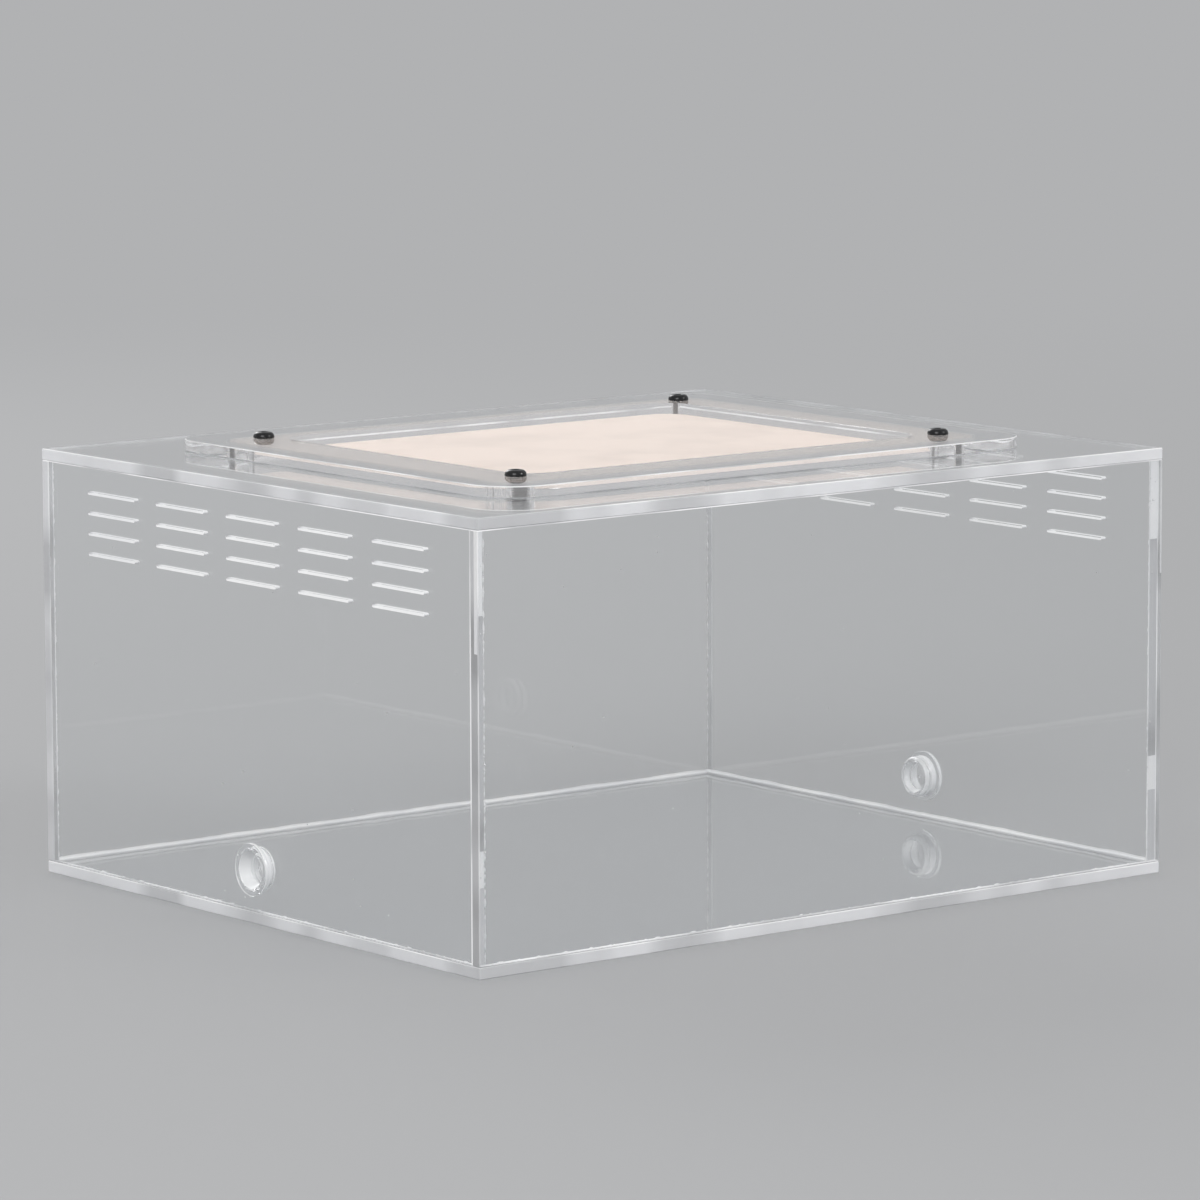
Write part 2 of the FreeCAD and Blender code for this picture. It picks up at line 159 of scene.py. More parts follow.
class PlugSettings(bpy.types.PropertyGroup):
    """The moulded plugs in the tube ports."""

    flange: length("Flange thickness", "Thickness of the flange outside the wall", 1.5 * MM)
    barrel: length("Barrel diameter", "Outside of the ribs", 14.8 * MM)
    lead: length("Lead", "Bevel round the inner end", 0.9 * MM)
    mouth: length("Mouth", "Diameter of the cup's mouth", 13.0 * MM)
    cup_depth: length("Cup depth", "Depth of the cup", 4.1 * MM)
    floor_bore: length("Floor bore", "Diameter of the cup at its floor", 10.2 * MM)
    floor: length("Floor", "Thickness of the cup's floor", 1.6 * MM)
    recess: length("Recess", "Diameter of the hollow in the inner end", 11.0 * MM)
    recess_bore: length("Recess bore", "Diameter of that hollow at the cup's floor", 9.6 * MM)
    ribs: IntProperty(name="Ribs", description="Ribs round the barrel", default=3, min=1)
    rib_pitch: length("Rib pitch", "From one rib to the next", 2.2 * MM)
    groove: length("Groove", "Width of the groove between two ribs", 0.9 * MM)
    groove_depth: length("Groove depth", "Depth of the groove between two ribs", 0.5 * MM)


class StageSettings(bpy.types.PropertyGroup):
    """The floor, the backdrop and the soft light."""

    floor_colour: colour("Floor", "Colour of the floor near the box", (0.44, 0.444, 0.452))
    backdrop_colour: colour("Backdrop", "Colour of the backdrop", (0.44, 0.444, 0.452))
    ambient: factor("Ambient", "Strength of the light from all round", 0.6)


class HabitatSettings(bpy.types.PropertyGroup):
    """All settings of the ant habitat."""

    sheet: PointerProperty(type=SheetSettings)
    weld: PointerProperty(type=WeldSettings)
    mesh: PointerProperty(type=MeshSettings)
    fastener: PointerProperty(type=FastenerSettings)
    plug: PointerProperty(type=PlugSettings)
    stage: PointerProperty(type=StageSettings)


# ---------------------------------------------------------------- node trees

def add(tree, kind, inputs=None, **settings):
    """Add a node with its own settings, and wire or set each input by name or by place."""
    made = tree.nodes.new(kind)
    for name, value in settings.items():
        setattr(made, name, value)
    for key, value in (inputs or {}).items():
        socket = made.inputs[key]
        if isinstance(value, bpy.types.NodeSocket):
            tree.links.new(value, socket)
        else:
            socket.default_value = value
    return made


def calculate(tree, operation, *values):
    """A Math node's result."""
    return add(tree, "ShaderNodeMath", dict(enumerate(values)), operation=operation).outputs[0]


def calculate_vector(tree, operation, *values):
    """A Vector Math node, for the caller to pick its output."""
    return add(tree, "ShaderNodeVectorMath", dict(enumerate(values)), operation=operation)


def vector(tree, x, y, z):
    """The three values as a vector."""
    return add(tree, "ShaderNodeCombineXYZ", {"X": x, "Y": y, "Z": z}).outputs[0]


def split(tree, value):
    """A vector's parts, by their letters."""
    return add(tree, "ShaderNodeSeparateXYZ", {0: value}).outputs


def mix(tree, share, first, second):
    """The number that lies this share of the way from the first to the second."""
    return add(tree, "ShaderNodeMix", {0: share, 2: first, 3: second}, data_type="FLOAT").outputs[0]


def mix_colour(tree, share, first, second):
    """The colour that lies this share of the way from the first to the second."""
    return add(tree, "ShaderNodeMix", {0: share, 6: first, 7: second}, data_type="RGBA").outputs[2]


def rescale(tree, value, low, high, bottom=0.0, top=1.0, **settings):
    """The value, with low to high spread over bottom to top and held at both ends."""
    return add(tree, "ShaderNodeMapRange", {
        "Value": value, "From Min": low, "From Max": high, "To Min": bottom, "To Max": top,
    }, **settings).outputs[0]


def noise(tree, place, scale, detail, roughness=0.5):
    """Smooth noise round 0.5, so many waves to the metre."""
    return add(tree, "ShaderNodeTexNoise", {
        "Vector": place, "Scale": scale, "Detail": detail, "Roughness": roughness,
    }).outputs["Fac"]


def position(tree):
    """Each point's place, in a geometry tree."""
    return add(tree, "GeometryNodeInputPosition").outputs[0]


def object_place(tree):
    """Each point's place on its piece, in a material."""
    return add(tree, "ShaderNodeTexCoord").outputs["Object"]


def pass_on(tree, kind, geometry, inputs=None, **settings):
    """The geometry as it leaves one more node."""
    return add(tree, kind, {0: geometry, **(inputs or {})}, **settings).outputs[0]


def gather(tree, *parts):
    """All of these geometries as one."""
    whole = add(tree, "GeometryNodeJoinGeometry")
    for part in parts:
        tree.links.new(part, whole.inputs[0])
    return whole.outputs[0]


def new_group(name, kind, inputs, outputs):
    """A node group with its named sockets. Returns the tree, its input sockets and its output sockets."""
    tree = bpy.data.node_groups.new(name, kind)
    for direction, sockets in (("INPUT", inputs), ("OUTPUT", outputs)):
        for label, socket_type in sockets.items():
            tree.interface.new_socket(label, in_out=direction, socket_type=f"NodeSocket{socket_type}")
    return tree, tree.nodes.new("NodeGroupInput").outputs, tree.nodes.new("NodeGroupOutput").inputs


def put_out(tree, result, **values):
    """Wire the values to the group's outputs of those names."""
    for label, value in values.items():
        tree.links.new(value, result[label])


def run_tree(name, tree, values):
    """Run a geometry tree and return its result as a plain object at the origin."""
    made = bpy.data.objects.new(name, bpy.data.meshes.new(name))
    bpy.context.scene.collection.objects.link(made)
    modifier = made.modifiers.new("shape", "NODES")
    modifier.node_group = tree
    sockets = {item.name: item.identifier for item in tree.interface.items_tree if item.in_out == "INPUT"}
    for label, value in values.items():
        modifier[sockets[label]] = value
    evaluated = made.evaluated_get(bpy.context.evaluated_depsgraph_get())
    mesh = bpy.data.meshes.new_from_object(evaluated)
    made.modifiers.remove(modifier)
    made.data = mesh
    mesh.name = name
    return made


def rounded_rectangle(tree, width, height, radius, steps):
    """A closed curve with round corners, centred on the origin."""
    plain = add(tree, "GeometryNodeCurvePrimitiveQuadrilateral", {"Width": width, "Height": height})
    return pass_on(tree, "GeometryNodeFilletCurve", plain.outputs[0], {
        "Count": steps, "Radius": radius, "Limit Radius": True,
    }, mode="POLY")


def only_if(tree, size, geometry):
    """The geometry where the size is more than nothing, and otherwise nothing."""
    wanted = add(tree, "FunctionNodeCompare", {0: size, 1: 0.0}, data_type="FLOAT",
                 operation="GREATER_THAN").outputs[0]
    return add(tree, "GeometryNodeSwitch", {"Switch": wanted, "True": geometry},
               input_type="GEOMETRY").outputs[0]


def in_one_material(tree, geometry, given, smooth=False):
    """The geometry as plain faces, smooth or not, in the tree's own material."""
    whole = pass_on(tree, "GeometryNodeRealizeInstances", geometry)
    if smooth:
        whole = pass_on(tree, "GeometryNodeSetShadeSmooth", whole)
    return pass_on(tree, "GeometryNodeSetMaterial", whole, {"Material": given["Material"]})


def laser_cut_sheet_tree():
    """A flat sheet in XY with its outline, one opening and a grid of holes cut through it."""
    outline_steps, opening_steps, hole_steps = 14, 20, 7
    tree, given, result = new_group("laser_cut_sheet", "GeometryNodeTree", {
        "Length": "Float", "Width": "Float", "Thickness": "Float", "Corner": "Float",
        "Opening Length": "Float", "Opening Width": "Float", "Opening Corner": "Float",
        "Opening Place": "Vector",
        "Hole Length": "Float", "Hole Width": "Float", "Columns": "Int", "Rows": "Int",
        "Column Pitch": "Float", "Row Pitch": "Float", "Holes Place": "Vector",
        "Face": "Material", "Cut Edge": "Material",
    }, {"Sheet": "Geometry"})
    outline = rounded_rectangle(tree, given["Length"], given["Width"], given["Corner"], outline_steps)

    opening = rounded_rectangle(tree, given["Opening Length"], given["Opening Width"],
                                given["Opening Corner"], opening_steps)
    opening = pass_on(tree, "GeometryNodeTransform", opening, {"Translation": given["Opening Place"]})
    opening = only_if(tree, given["Opening Length"], opening)

    end_radius = calculate(tree, "MULTIPLY", given["Hole Width"], ROUND_HOLE)
    hole = rounded_rectangle(tree, given["Hole Length"], given["Hole Width"], end_radius, hole_steps)
    spread_x, spread_y = (
        calculate(tree, "MULTIPLY", calculate(tree, "SUBTRACT", given[count], 1.0), given[pitch])
        for count, pitch in (("Columns", "Column Pitch"), ("Rows", "Row Pitch")))
    grid = add(tree, "GeometryNodeMeshGrid", {
        "Size X": spread_x, "Size Y": spread_y,
        "Vertices X": given["Columns"], "Vertices Y": given["Rows"],
    })
    holes = pass_on(tree, "GeometryNodeInstanceOnPoints", grid.outputs[0], {"Instance": hole})
    holes = pass_on(tree, "GeometryNodeTransform", holes, {"Translation": given["Holes Place"]})
    holes = pass_on(tree, "GeometryNodeRealizeInstances", holes)
    holes = only_if(tree, given["Hole Length"], holes)

    lower = pass_on(tree, "GeometryNodeFillCurve", gather(tree, outline, opening, holes), mode="TRIANGLES")
    lower = pass_on(tree, "GeometryNodeSetMaterial", lower, {"Material": given["Face"]})
    upper = add(tree, "GeometryNodeExtrudeMesh", {
        "Mesh": lower, "Offset Scale": given["Thickness"], "Individual": False,
    }, mode="FACES").outputs
    walls = pass_on(tree, "GeometryNodeSetMaterial", upper["Mesh"], {
        "Selection": upper["Side"], "Material": given["Cut Edge"],
    })
    whole = gather(tree, walls, pass_on(tree, "GeometryNodeFlipFaces", lower))
    whole = pass_on(tree, "GeometryNodeMergeByDistance", whole, {"Distance": TINY})
    put_out(tree, result, Sheet=pass_on(tree, "GeometryNodeSetShadeSmooth", whole))
    return tree


def wire_cloth_tree():
    """Straight wires in two layers, cut to a round-cornered sheet with a hole near each corner."""
    tree, given, result = new_group("wire_cloth", "GeometryNodeTree", {
        "Length": "Float", "Width": "Float", "Corner": "Float", "Pitch": "Float", "Wire": "Float",
        "Hole": "Float", "Hole Place": "Vector", "Material": "Material",
    }, {"Cloth": "Geometry"})
    grid = add(tree, "GeometryNodeMeshGrid", {
        "Size X": given["Length"], "Size Y": given["Width"],
        "Vertices X": calculate(tree, "DIVIDE", given["Length"], given["Pitch"]),
        "Vertices Y": calculate(tree, "DIVIDE", given["Width"], given["Pitch"]),
    })
    # The cloth is the same in all four quarters, so the cuts are worked out in the first.
    place = calculate_vector(tree, "ABSOLUTE", position(tree)).outputs[0]
    half = vector(tree, calculate(tree, "MULTIPLY", given["Length"], 0.5),
                  calculate(tree, "MULTIPLY", given["Width"], 0.5), 0.0)
    corner = vector(tree, given["Corner"], given["Corner"], 0.0)
    corner_centre = calculate_vector(tree, "SUBTRACT", half, corner).outputs[0]
    past = calculate_vector(tree, "SUBTRACT", place, corner_centre).outputs[0]
    past = calculate_vector(tree, "MAXIMUM", past, (0.0, 0.0, 0.0)).outputs[0]
    outside = calculate(tree, "GREATER_THAN", calculate_vector(tree, "LENGTH", past).outputs["Value"],
                        given["Corner"])
    to_hole = calculate_vector(tree, "DISTANCE", place, given["Hole Place"]).outputs["Value"]
    in_hole = calculate(tree, "LESS_THAN", to_hole, calculate(tree, "MULTIPLY", given["Hole"], 0.5))
    crossings = pass_on(tree, "GeometryNodeDeleteGeometry", grid.outputs[0], {
        "Selection": calculate(tree, "MAXIMUM", outside, in_hole),
    }, domain="POINT")

    ends = add(tree, "GeometryNodeInputMeshEdgeVertices").outputs
    step = calculate_vector(tree, "SUBTRACT", ends["Position 2"], ends["Position 1"]).outputs[0]
    step = split(tree, step)
    profile = add(tree, "GeometryNodeCurvePrimitiveCircle", {
        "Resolution": WIRE_SIDES, "Radius": calculate(tree, "MULTIPLY", given["Wire"], 0.5),
    })
    layers = []
    for along, side in (("X", -0.5), ("Y", 0.5)):
        runs = calculate(tree, "GREATER_THAN", calculate(tree, "ABSOLUTE", step[along]), TINY)
        wires = pass_on(tree, "GeometryNodeMeshToCurve", crossings, {"Selection": runs})
        wires = pass_on(tree, "GeometryNodeResampleCurve", wires, {"Count": 2}, mode="COUNT")
        wires = pass_on(tree, "GeometryNodeCurveToMesh", wires, {
            "Profile Curve": profile.outputs[0], "Fill Caps": True,
        })
        lift = vector(tree, 0.0, 0.0, calculate(tree, "MULTIPLY", given["Wire"], side))
        layers.append(pass_on(tree, "GeometryNodeTransform", wires, {"Translation": lift}))
    smooth = pass_on(tree, "GeometryNodeSetShadeSmooth", gather(tree, *layers))
    put_out(tree, result, Cloth=in_one_material(tree, smooth, given))
    return tree


def four_corners_tree():
    """One copy of a piece at each corner of a rectangle, each turned by its own amount."""
    tree, given, result = new_group("four_corners", "GeometryNodeTree", {
        "Piece": "Object", "Length": "Float", "Width": "Float", "Seed": "Int", "Material": "Material",
    }, {"Pieces": "Geometry"})
    grid = add(tree, "GeometryNodeMeshGrid", {
        "Size X": given["Length"], "Size Y": given["Width"], "Vertices X": 2, "Vertices Y": 2,
    })
    piece = add(tree, "GeometryNodeObjectInfo", {"Object": given["Piece"]})
    turn = add(tree, "FunctionNodeRandomValue", {3: HEXAGON_TURN, "Seed": given["Seed"]})
    copies = pass_on(tree, "GeometryNodeInstanceOnPoints", grid.outputs[0], {
        "Instance": piece.outputs["Geometry"], "Rotation": vector(tree, 0.0, 0.0, turn.outputs[1]),
    })
    put_out(tree, result, Pieces=in_one_material(tree, copies, given))
    return tree


def weld_bubbles_tree():
    """Small bubbles scattered over a strip along +X and into +Y, most of them near the strip's edge."""
    runs_per_metre, bare_below, crowding = 28.0, 0.47, 4.0
    smallest, flatness = 0.25, 0.6
    tree, given, result = new_group("weld_bubbles", "GeometryNodeTree", {
        "Length": "Float", "Width": "Float", "Gap": "Float", "Largest": "Float", "Seed": "Int",
        "Material": "Material",
    }, {"Bubbles": "Geometry"})
    count = calculate(tree, "DIVIDE", given["Length"], given["Gap"])
    line = add(tree, "GeometryNodeMeshLine", {"Count": count, "Offset": (0.0, 0.0, 0.0)})
    spread = add(tree, "FunctionNodeRandomValue", {1: (1.0, 1.0, 0.0), "Seed": given["Seed"]},
                 data_type="FLOAT_VECTOR")
    spread = split(tree, spread.outputs[0])
    inwards = calculate(tree, "POWER", spread["Y"], crowding)
    points = pass_on(tree, "GeometryNodeSetPosition", line.outputs[0], {
        "Position": vector(tree, calculate(tree, "MULTIPLY", spread["X"], given["Length"]),
                           calculate(tree, "MULTIPLY", inwards, given["Width"]), 0.0),
    })
    # Cement traps its bubbles in runs, so noise along the joint thins them out in between.
    bare = calculate(tree, "LESS_THAN", noise(tree, position(tree), runs_per_metre, detail=1.0),
                     bare_below)
    points = pass_on(tree, "GeometryNodeDeleteGeometry", points, {"Selection": bare}, domain="POINT")
    share = add(tree, "FunctionNodeRandomValue", {2: smallest, 3: 1.0, "Seed": given["Seed"]})
    size = calculate(tree, "MULTIPLY", calculate(tree, "POWER", share.outputs[1], 2.0), given["Largest"])
    ball = add(tree, "GeometryNodeMeshIcoSphere", {"Radius": 1.0, "Subdivisions": 1})
    copies = pass_on(tree, "GeometryNodeInstanceOnPoints", points, {
        "Instance": ball.outputs[0],
        "Scale": vector(tree, size, size, calculate(tree, "MULTIPLY", size, flatness)),
    })
    put_out(tree, result, Bubbles=in_one_material(tree, copies, given, smooth=True))
    return tree


def weld_bead_tree():
    """An uneven fillet of cement along +X, in the corner between the +Y and +Z directions.

    Noise along the line swells it into drops, from the thinnest share of its leg up to the whole.
    """
    tree, given, result = new_group("weld_bead", "GeometryNodeTree", {
        "Length": "Float", "Leg": "Float", "Step": "Float", "Seed": "Float", "Drops per Metre": "Float",
        "Thinnest": "Float", "Material": "Material",
    }, {"Bead": "Geometry"})
    line = add(tree, "GeometryNodeCurvePrimitiveLine", {"End": vector(tree, given["Length"], 0.0, 0.0)})
    line = pass_on(tree, "GeometryNodeResampleCurve", line.outputs[0], {"Length": given["Step"]},
                   mode="LENGTH")
    profile = add(tree, "GeometryNodeCurvePrimitiveCircle", {"Resolution": 3, "Radius": 1.0})
    tube = pass_on(tree, "GeometryNodeCurveToMesh", line, {
        "Profile Curve": profile.outputs[0], "Fill Caps": True,
    })
    # Each ring of three points goes to the corner and to the ends of the fillet's two legs.
    along = split(tree, position(tree))["X"]
    which = calculate(tree, "MODULO", add(tree, "GeometryNodeInputIndex").outputs[0], 3.0)
    ripple = noise(tree, vector(tree, along, given["Seed"], 0.0), given["Drops per Metre"], detail=2.0)
    share = rescale(tree, ripple, low=0.45, high=0.62, bottom=given["Thinnest"])
    leg = calculate(tree, "MULTIPLY", given["Leg"], share)
    first, second = (calculate(tree, "MULTIPLY", leg, calculate(tree, "COMPARE", which, corner, 0.1))
                     for corner in (1.0, 2.0))
    bead = pass_on(tree, "GeometryNodeSetPosition", tube, {"Position": vector(tree, along, first, second)})
    put_out(tree, result, Bead=in_one_material(tree, bead, given))
    return tree


# ---------------------------------------------------------------- finishes

ACRYLIC_IOR = 1.49
WHITE = (1.0, 1.0, 1.0, 1.0)
# Where a front corner's cut edges carry a painted highlight, white that stands in for studio light caught
# in the clear edge, by the axis of the sheet's thickness: above a height, and nearer the front than a
# place in Y. The long wall, "y", has it only along its outer corner, and the end walls' edges lie behind
# it.
PAINTED_HIGHLIGHT_END = {"x": (118 * MM, -120.5 * MM), "y": (106 * MM, -123 * MM)}
# The end walls' edges carry that painted highlight at this height too, so far up and down.
PAINTED_HIGHLIGHT_FOOT = (35.5 * MM, 6 * MM)


def sheet_marks_group():
    """Dust specks and faint wiping marks on clear plastic."""
    waves_per_metre, left_out = 9.0, 0.55
    tree, given, result = new_group("sheet_marks", "ShaderNodeTree", {
        "Clear Roughness": "Float", "Speck Roughness": "Float", "Speck Cell": "Float",
        "Speck Size": "Float",
    }, {"Roughness": "Float", "Height": "Float"})
    place = object_place(tree)
    cells = add(tree, "ShaderNodeTexVoronoi", {
        "Vector": place, "Scale": calculate(tree, "DIVIDE", 1.0, given["Speck Cell"]),
    }).outputs
    # Of each cell's random colour, one channel sizes its speck and another leaves out about half.
    chosen = add(tree, "ShaderNodeSeparateColor", {0: cells["Color"]}).outputs
    largest = calculate(tree, "DIVIDE", given["Speck Size"], given["Speck Cell"])
    reach = calculate(tree, "MULTIPLY", chosen["Red"], largest)
    speck = calculate(tree, "LESS_THAN", cells["Distance"], reach)
    kept = calculate(tree, "GREATER_THAN", chosen["Green"], left_out)
    speck = calculate(tree, "MULTIPLY", speck, kept)
    put_out(tree, result, Height=noise(tree, place, waves_per_metre, detail=1.0),
            Roughness=mix(tree, speck, given["Clear Roughness"], given["Speck Roughness"]))
    return tree


def cut_lines_group():
    """The fine lines that a cutter or a laser leaves across the thickness of a sheet."""
    bands_per_metre = 28.0
    tree, given, result = new_group("cut_lines", "ShaderNodeTree", {
        "Along": "Vector", "Lines per Metre": "Float", "Smooth": "Float", "Frosted": "Float",
        "Light": "Color", "Dark": "Color",
    }, {"Roughness": "Float", "Height": "Float", "Colour": "Color"})
    flat = calculate_vector(tree, "MULTIPLY", object_place(tree), given["Along"]).outputs[0]
    lines = noise(tree, flat, given["Lines per Metre"], detail=3.0, roughness=0.6)
    bands = rescale(tree, noise(tree, flat, bands_per_metre, detail=1.0), low=0.4, high=0.56)
    put_out(tree, result, Height=lines, Roughness=mix(tree, lines, given["Smooth"], given["Frosted"]),
            Colour=mix_colour(tree, bands, given["Dark"], given["Light"]))
    return tree


def metal_grain_group():
    """Fine grain with lighter worn spots, for the steel and the bubbles' skin."""
    patches_per_metre, worn_edge = 35.0, 0.25
    tree, given, result = new_group("metal_grain", "ShaderNodeTree", {
        "Base": "Color", "Worn": "Color", "Grains per Metre": "Float", "Wear": "Float",
        "Least": "Float", "Most": "Float",
    }, {"Colour": "Color", "Roughness": "Float", "Height": "Float"})
    place = object_place(tree)
    grain = noise(tree, place, given["Grains per Metre"], detail=4.0, roughness=0.65)
    lowest = calculate(tree, "SUBTRACT", 1.0, given["Wear"])
    worn = rescale(tree, noise(tree, place, patches_per_metre, detail=3.0), lowest,
                   calculate(tree, "ADD", lowest, worn_edge))
    put_out(tree, result, Height=grain, Roughness=mix(tree, grain, given["Least"], given["Most"]),
            Colour=mix_colour(tree, worn, given["Base"], given["Worn"]))
    return tree


def shared_group(name, build):
    """The node group of that name, built the first time it is asked for."""
    return bpy.data.node_groups.get(name) or build()


def new_material(name):
    """An empty node material."""
    made = bpy.data.materials.new(name)
    made.use_nodes = True
    made.node_tree.nodes.clear()
    return made, made.node_tree


def effect(tree, name, build, values):
    """One of the shared effects, placed in a material with its own values. Returns its outputs."""
    return add(tree, "ShaderNodeGroup", values, node_tree=shared_group(name, build)).outputs


def tone(colour, share=1.0):
    """The colour at that share of its brightness, opaque."""
    return (*(Vector(colour) * share), 1.0)


def cut_marks(tree, axis, lines, smooth, frosted, light, dark):
    """The cutter's lines on an edge of a sheet whose thickness runs along the axis, or all over.

    It is smooth between the lines and frosted on them, and bands along the edge are light or dark.
    """
    return effect(tree, "cut_lines", cut_lines_group, {
        "Along": [float(letter != axis) for letter in "xyz"], "Lines per Metre": lines,
        "Smooth": smooth, "Frosted": frosted, "Light": light, "Dark": dark,
    })


def surface(tree, marks, values, relief=None, passed=None):
    """Finish a material with one shader that has the marks' roughness, and these values on its sockets.

    The relief is the depth and the strength of a bump from the marks' height. A clear material lets the
    lamps' light and the light from the surroundings straight through, in the passed colour.
    """
    shader = add(tree, "ShaderNodeBsdfPrincipled", {"Roughness": marks["Roughness"], **values})
    if relief:
        depth, strength = relief
        height = add(tree, "ShaderNodeBump", {
            "Height": marks["Height"], "Distance": depth, "Strength": strength,
        })
        tree.links.new(height.outputs[0], shader.inputs["Normal"])
    seen = shader.outputs[0]
    if passed:
        path = add(tree, "ShaderNodeLightPath").outputs
        through = calculate(tree, "MAXIMUM", path["Is Shadow Ray"], path["Is Diffuse Ray"])
        light = add(tree, "ShaderNodeBsdfTransparent", {"Color": (*passed, 1.0)}).outputs[0]
        seen = add(tree, "ShaderNodeMixShader", {0: through, 1: seen, 2: light}).outputs[0]
    add(tree, "ShaderNodeOutputMaterial", {"Surface": seen})


def polished_acrylic():
    """The faces of the sheet as they come from the maker, under their peeled-off film."""
    made, tree = new_material("polished_acrylic")
    marks = effect(tree, "sheet_marks", sheet_marks_group, {
        "Clear Roughness": 0.0, "Speck Roughness": 0.7, "Speck Cell": 0.009, "Speck Size": 0.0004,
    })
    surface(tree, marks, {
        "Base Color": tone(bpy.context.scene.habitat.sheet.face_colour),
        "Transmission Weight": 1.0, "IOR": ACRYLIC_IOR,
    }, relief=(0.0002, 0.15), passed=(0.96, 0.965, 0.97))
    return made


def milled_edge(axis):
    """A milled, half-polished edge of a sheet whose thickness runs along the axis."""
    made, tree = new_material(f"milled_edge_{axis}")
    edge = bpy.context.scene.habitat.sheet.edge_colour
    cut = cut_marks(tree, axis, lines=900.0, smooth=0.35, frosted=0.5, light=tone(edge),
                    dark=tone(edge, 0.7))
    surface(tree, cut, {
        "Base Color": cut["Colour"], "Transmission Weight": 0.3, "IOR": ACRYLIC_IOR,
    }, relief=(0.0001, 0.1), passed=(0.86, 0.865, 0.87))
    return made


def end_painted_highlights(axis):
    """Front corners' cut edge: painted highlights at the top and above the foot, painted shade in between.
    """
    made, tree = new_material(f"end_painted_highlights_{axis}")
    edge = bpy.context.scene.habitat.sheet.edge_colour
    place = split(tree, object_place(tree))
    lowest, furthest = PAINTED_HIGHLIGHT_END[axis]
    # The white is a painted highlight, placed by height and by depth, not a colour of the cut edge.
    white = calculate(tree, "GREATER_THAN", place["Z"], lowest)
    if axis == "x":
        white = calculate(tree, "ADD", white, calculate(tree, "COMPARE", place["Z"], *PAINTED_HIGHLIGHT_FOOT))
    white = calculate(tree, "MULTIPLY", white, calculate(tree, "LESS_THAN", place["Y"], furthest))
    # The darker tones outside the white are painted shade.
    cut = cut_marks(tree, axis, lines=900.0, smooth=0.3, frosted=0.6,
                    light=mix_colour(tree, white, tone(edge, 0.7), WHITE),
                    dark=mix_colour(tree, white, tone(edge, 0.45), tone(edge)))
    surface(tree, cut, {
        "Base Color": cut["Colour"], "Transmission Weight": 0.25, "IOR": ACRYLIC_IOR,
    }, relief=(0.0001, 0.6), passed=(0.9, 0.905, 0.91))
    return made


def laser_edge(axis):
    """A laser-cut edge, as clear as glass but for fine lines across the sheet's thickness."""
    made, tree = new_material(f"laser_edge_{axis}")
    cut = cut_marks(tree, axis, lines=700.0, smooth=0.0, frosted=0.05, light=(0.99, 0.99, 0.995, 1.0),
                    dark=(0.96, 0.96, 0.97, 1.0))
    surface(tree, cut, {
        "Base Color": cut["Colour"], "Transmission Weight": 0.86, "IOR": ACRYLIC_IOR,
    }, relief=(0.0001, 0.35), passed=(0.86, 0.865, 0.87))
    return made


def slot_painted_glow(axis):
    """The wall of a narrow cut, rough, and white as a painted glow of light the sheet leads out there."""
    made, tree = new_material(f"slot_painted_glow_{axis}")
    # The white stands in for light carried in the sheet and let out at the cut: painted glow.
    cut = cut_marks(tree, axis, lines=900.0, smooth=0.8, frosted=1.0, light=WHITE,
                    dark=(0.93, 0.93, 0.94, 1.0))
    surface(tree, cut, {"Base Color": cut["Colour"], "Specular IOR Level": 0.1}, relief=(0.0001, 0.2),
            passed=(0.98, 0.98, 0.98))
    return made


def arris_painted_highlight(axis):
    """The scraped flat along an edge: a painted highlight, white in some places and clearer in others."""
    made, tree = new_material(f"arris_painted_highlight_{axis}")
    # The white tone is a painted highlight along the edge; where it is light or clearer is random.
    cut = cut_marks(tree, axis, lines=1200.0, smooth=0.4, frosted=0.8, light=(0.97, 0.97, 0.98, 1.0),
                    dark=(0.6, 0.605, 0.62, 1.0))
    surface(tree, cut, {"Base Color": cut["Colour"], "Specular IOR Level": 0.3}, relief=(0.0001, 0.2),
            passed=(0.95, 0.95, 0.95))
    return made


def weld_cement():
    """Dried solvent cement, white and rippled."""
    made, tree = new_material("weld_cement")
    cut = cut_marks(tree, None, lines=700.0, smooth=0.3, frosted=0.7, light=WHITE,
                    dark=(0.9, 0.905, 0.92, 1.0))
    surface(tree, cut, {"Base Color": cut["Colour"], "Specular IOR Level": 0.25}, relief=(0.0002, 0.4),
            passed=(0.8, 0.8, 0.8))
    return made


def weld_bubble():
    """The bright skin of a bubble trapped in a joint."""
    made, tree = new_material("weld_bubble")
    grain = effect(tree, "metal_grain", metal_grain_group, {
        "Base": (0.9, 0.9, 0.92, 1.0), "Worn": WHITE, "Grains per Metre": 4000.0,
        "Wear": 0.5, "Least": 0.1, "Most": 0.35,
    })
    surface(tree, grain, {
        "Base Color": grain["Colour"], "Transmission Weight": 0.25, "IOR": 1.33,
    }, passed=(0.7, 0.7, 0.7))
    return made


def steel_wire_with_painted_sheen():
    """Drawn steel wire, a little uneven, in a pale cream that is partly painted sheen."""
    made, tree = new_material("steel_wire_with_painted_sheen")
    wire = bpy.context.scene.habitat.mesh.wire_colour
    grain = effect(tree, "metal_grain", metal_grain_group, {
        "Base": tone(wire), "Worn": tone(wire, 0.93), "Grains per Metre": 2500.0,
        "Wear": 0.55, "Least": 0.28, "Most": 0.5,
    })
    surface(tree, grain, {"Base Color": grain["Colour"], "Metallic": 0.1}, relief=(0.00003, 0.4))
    return made


def black_oxide():
    """The black finish of the screws and nuts, with a little oil on it."""
    made, tree = new_material("black_oxide")
    grain = effect(tree, "metal_grain", metal_grain_group, {
        "Base": tone(bpy.context.scene.habitat.fastener.paint), "Worn": (0.03, 0.029, 0.028, 1.0),
        "Grains per Metre": 1800.0, "Wear": 0.42, "Least": 0.12, "Most": 0.26,
    })
    surface(tree, grain, {
        "Base Color": grain["Colour"], "Specular IOR Level": 0.35, "Coat Weight": 0.2,
        "Coat Roughness": 0.04,
    }, relief=(0.00004, 0.35))
    return made


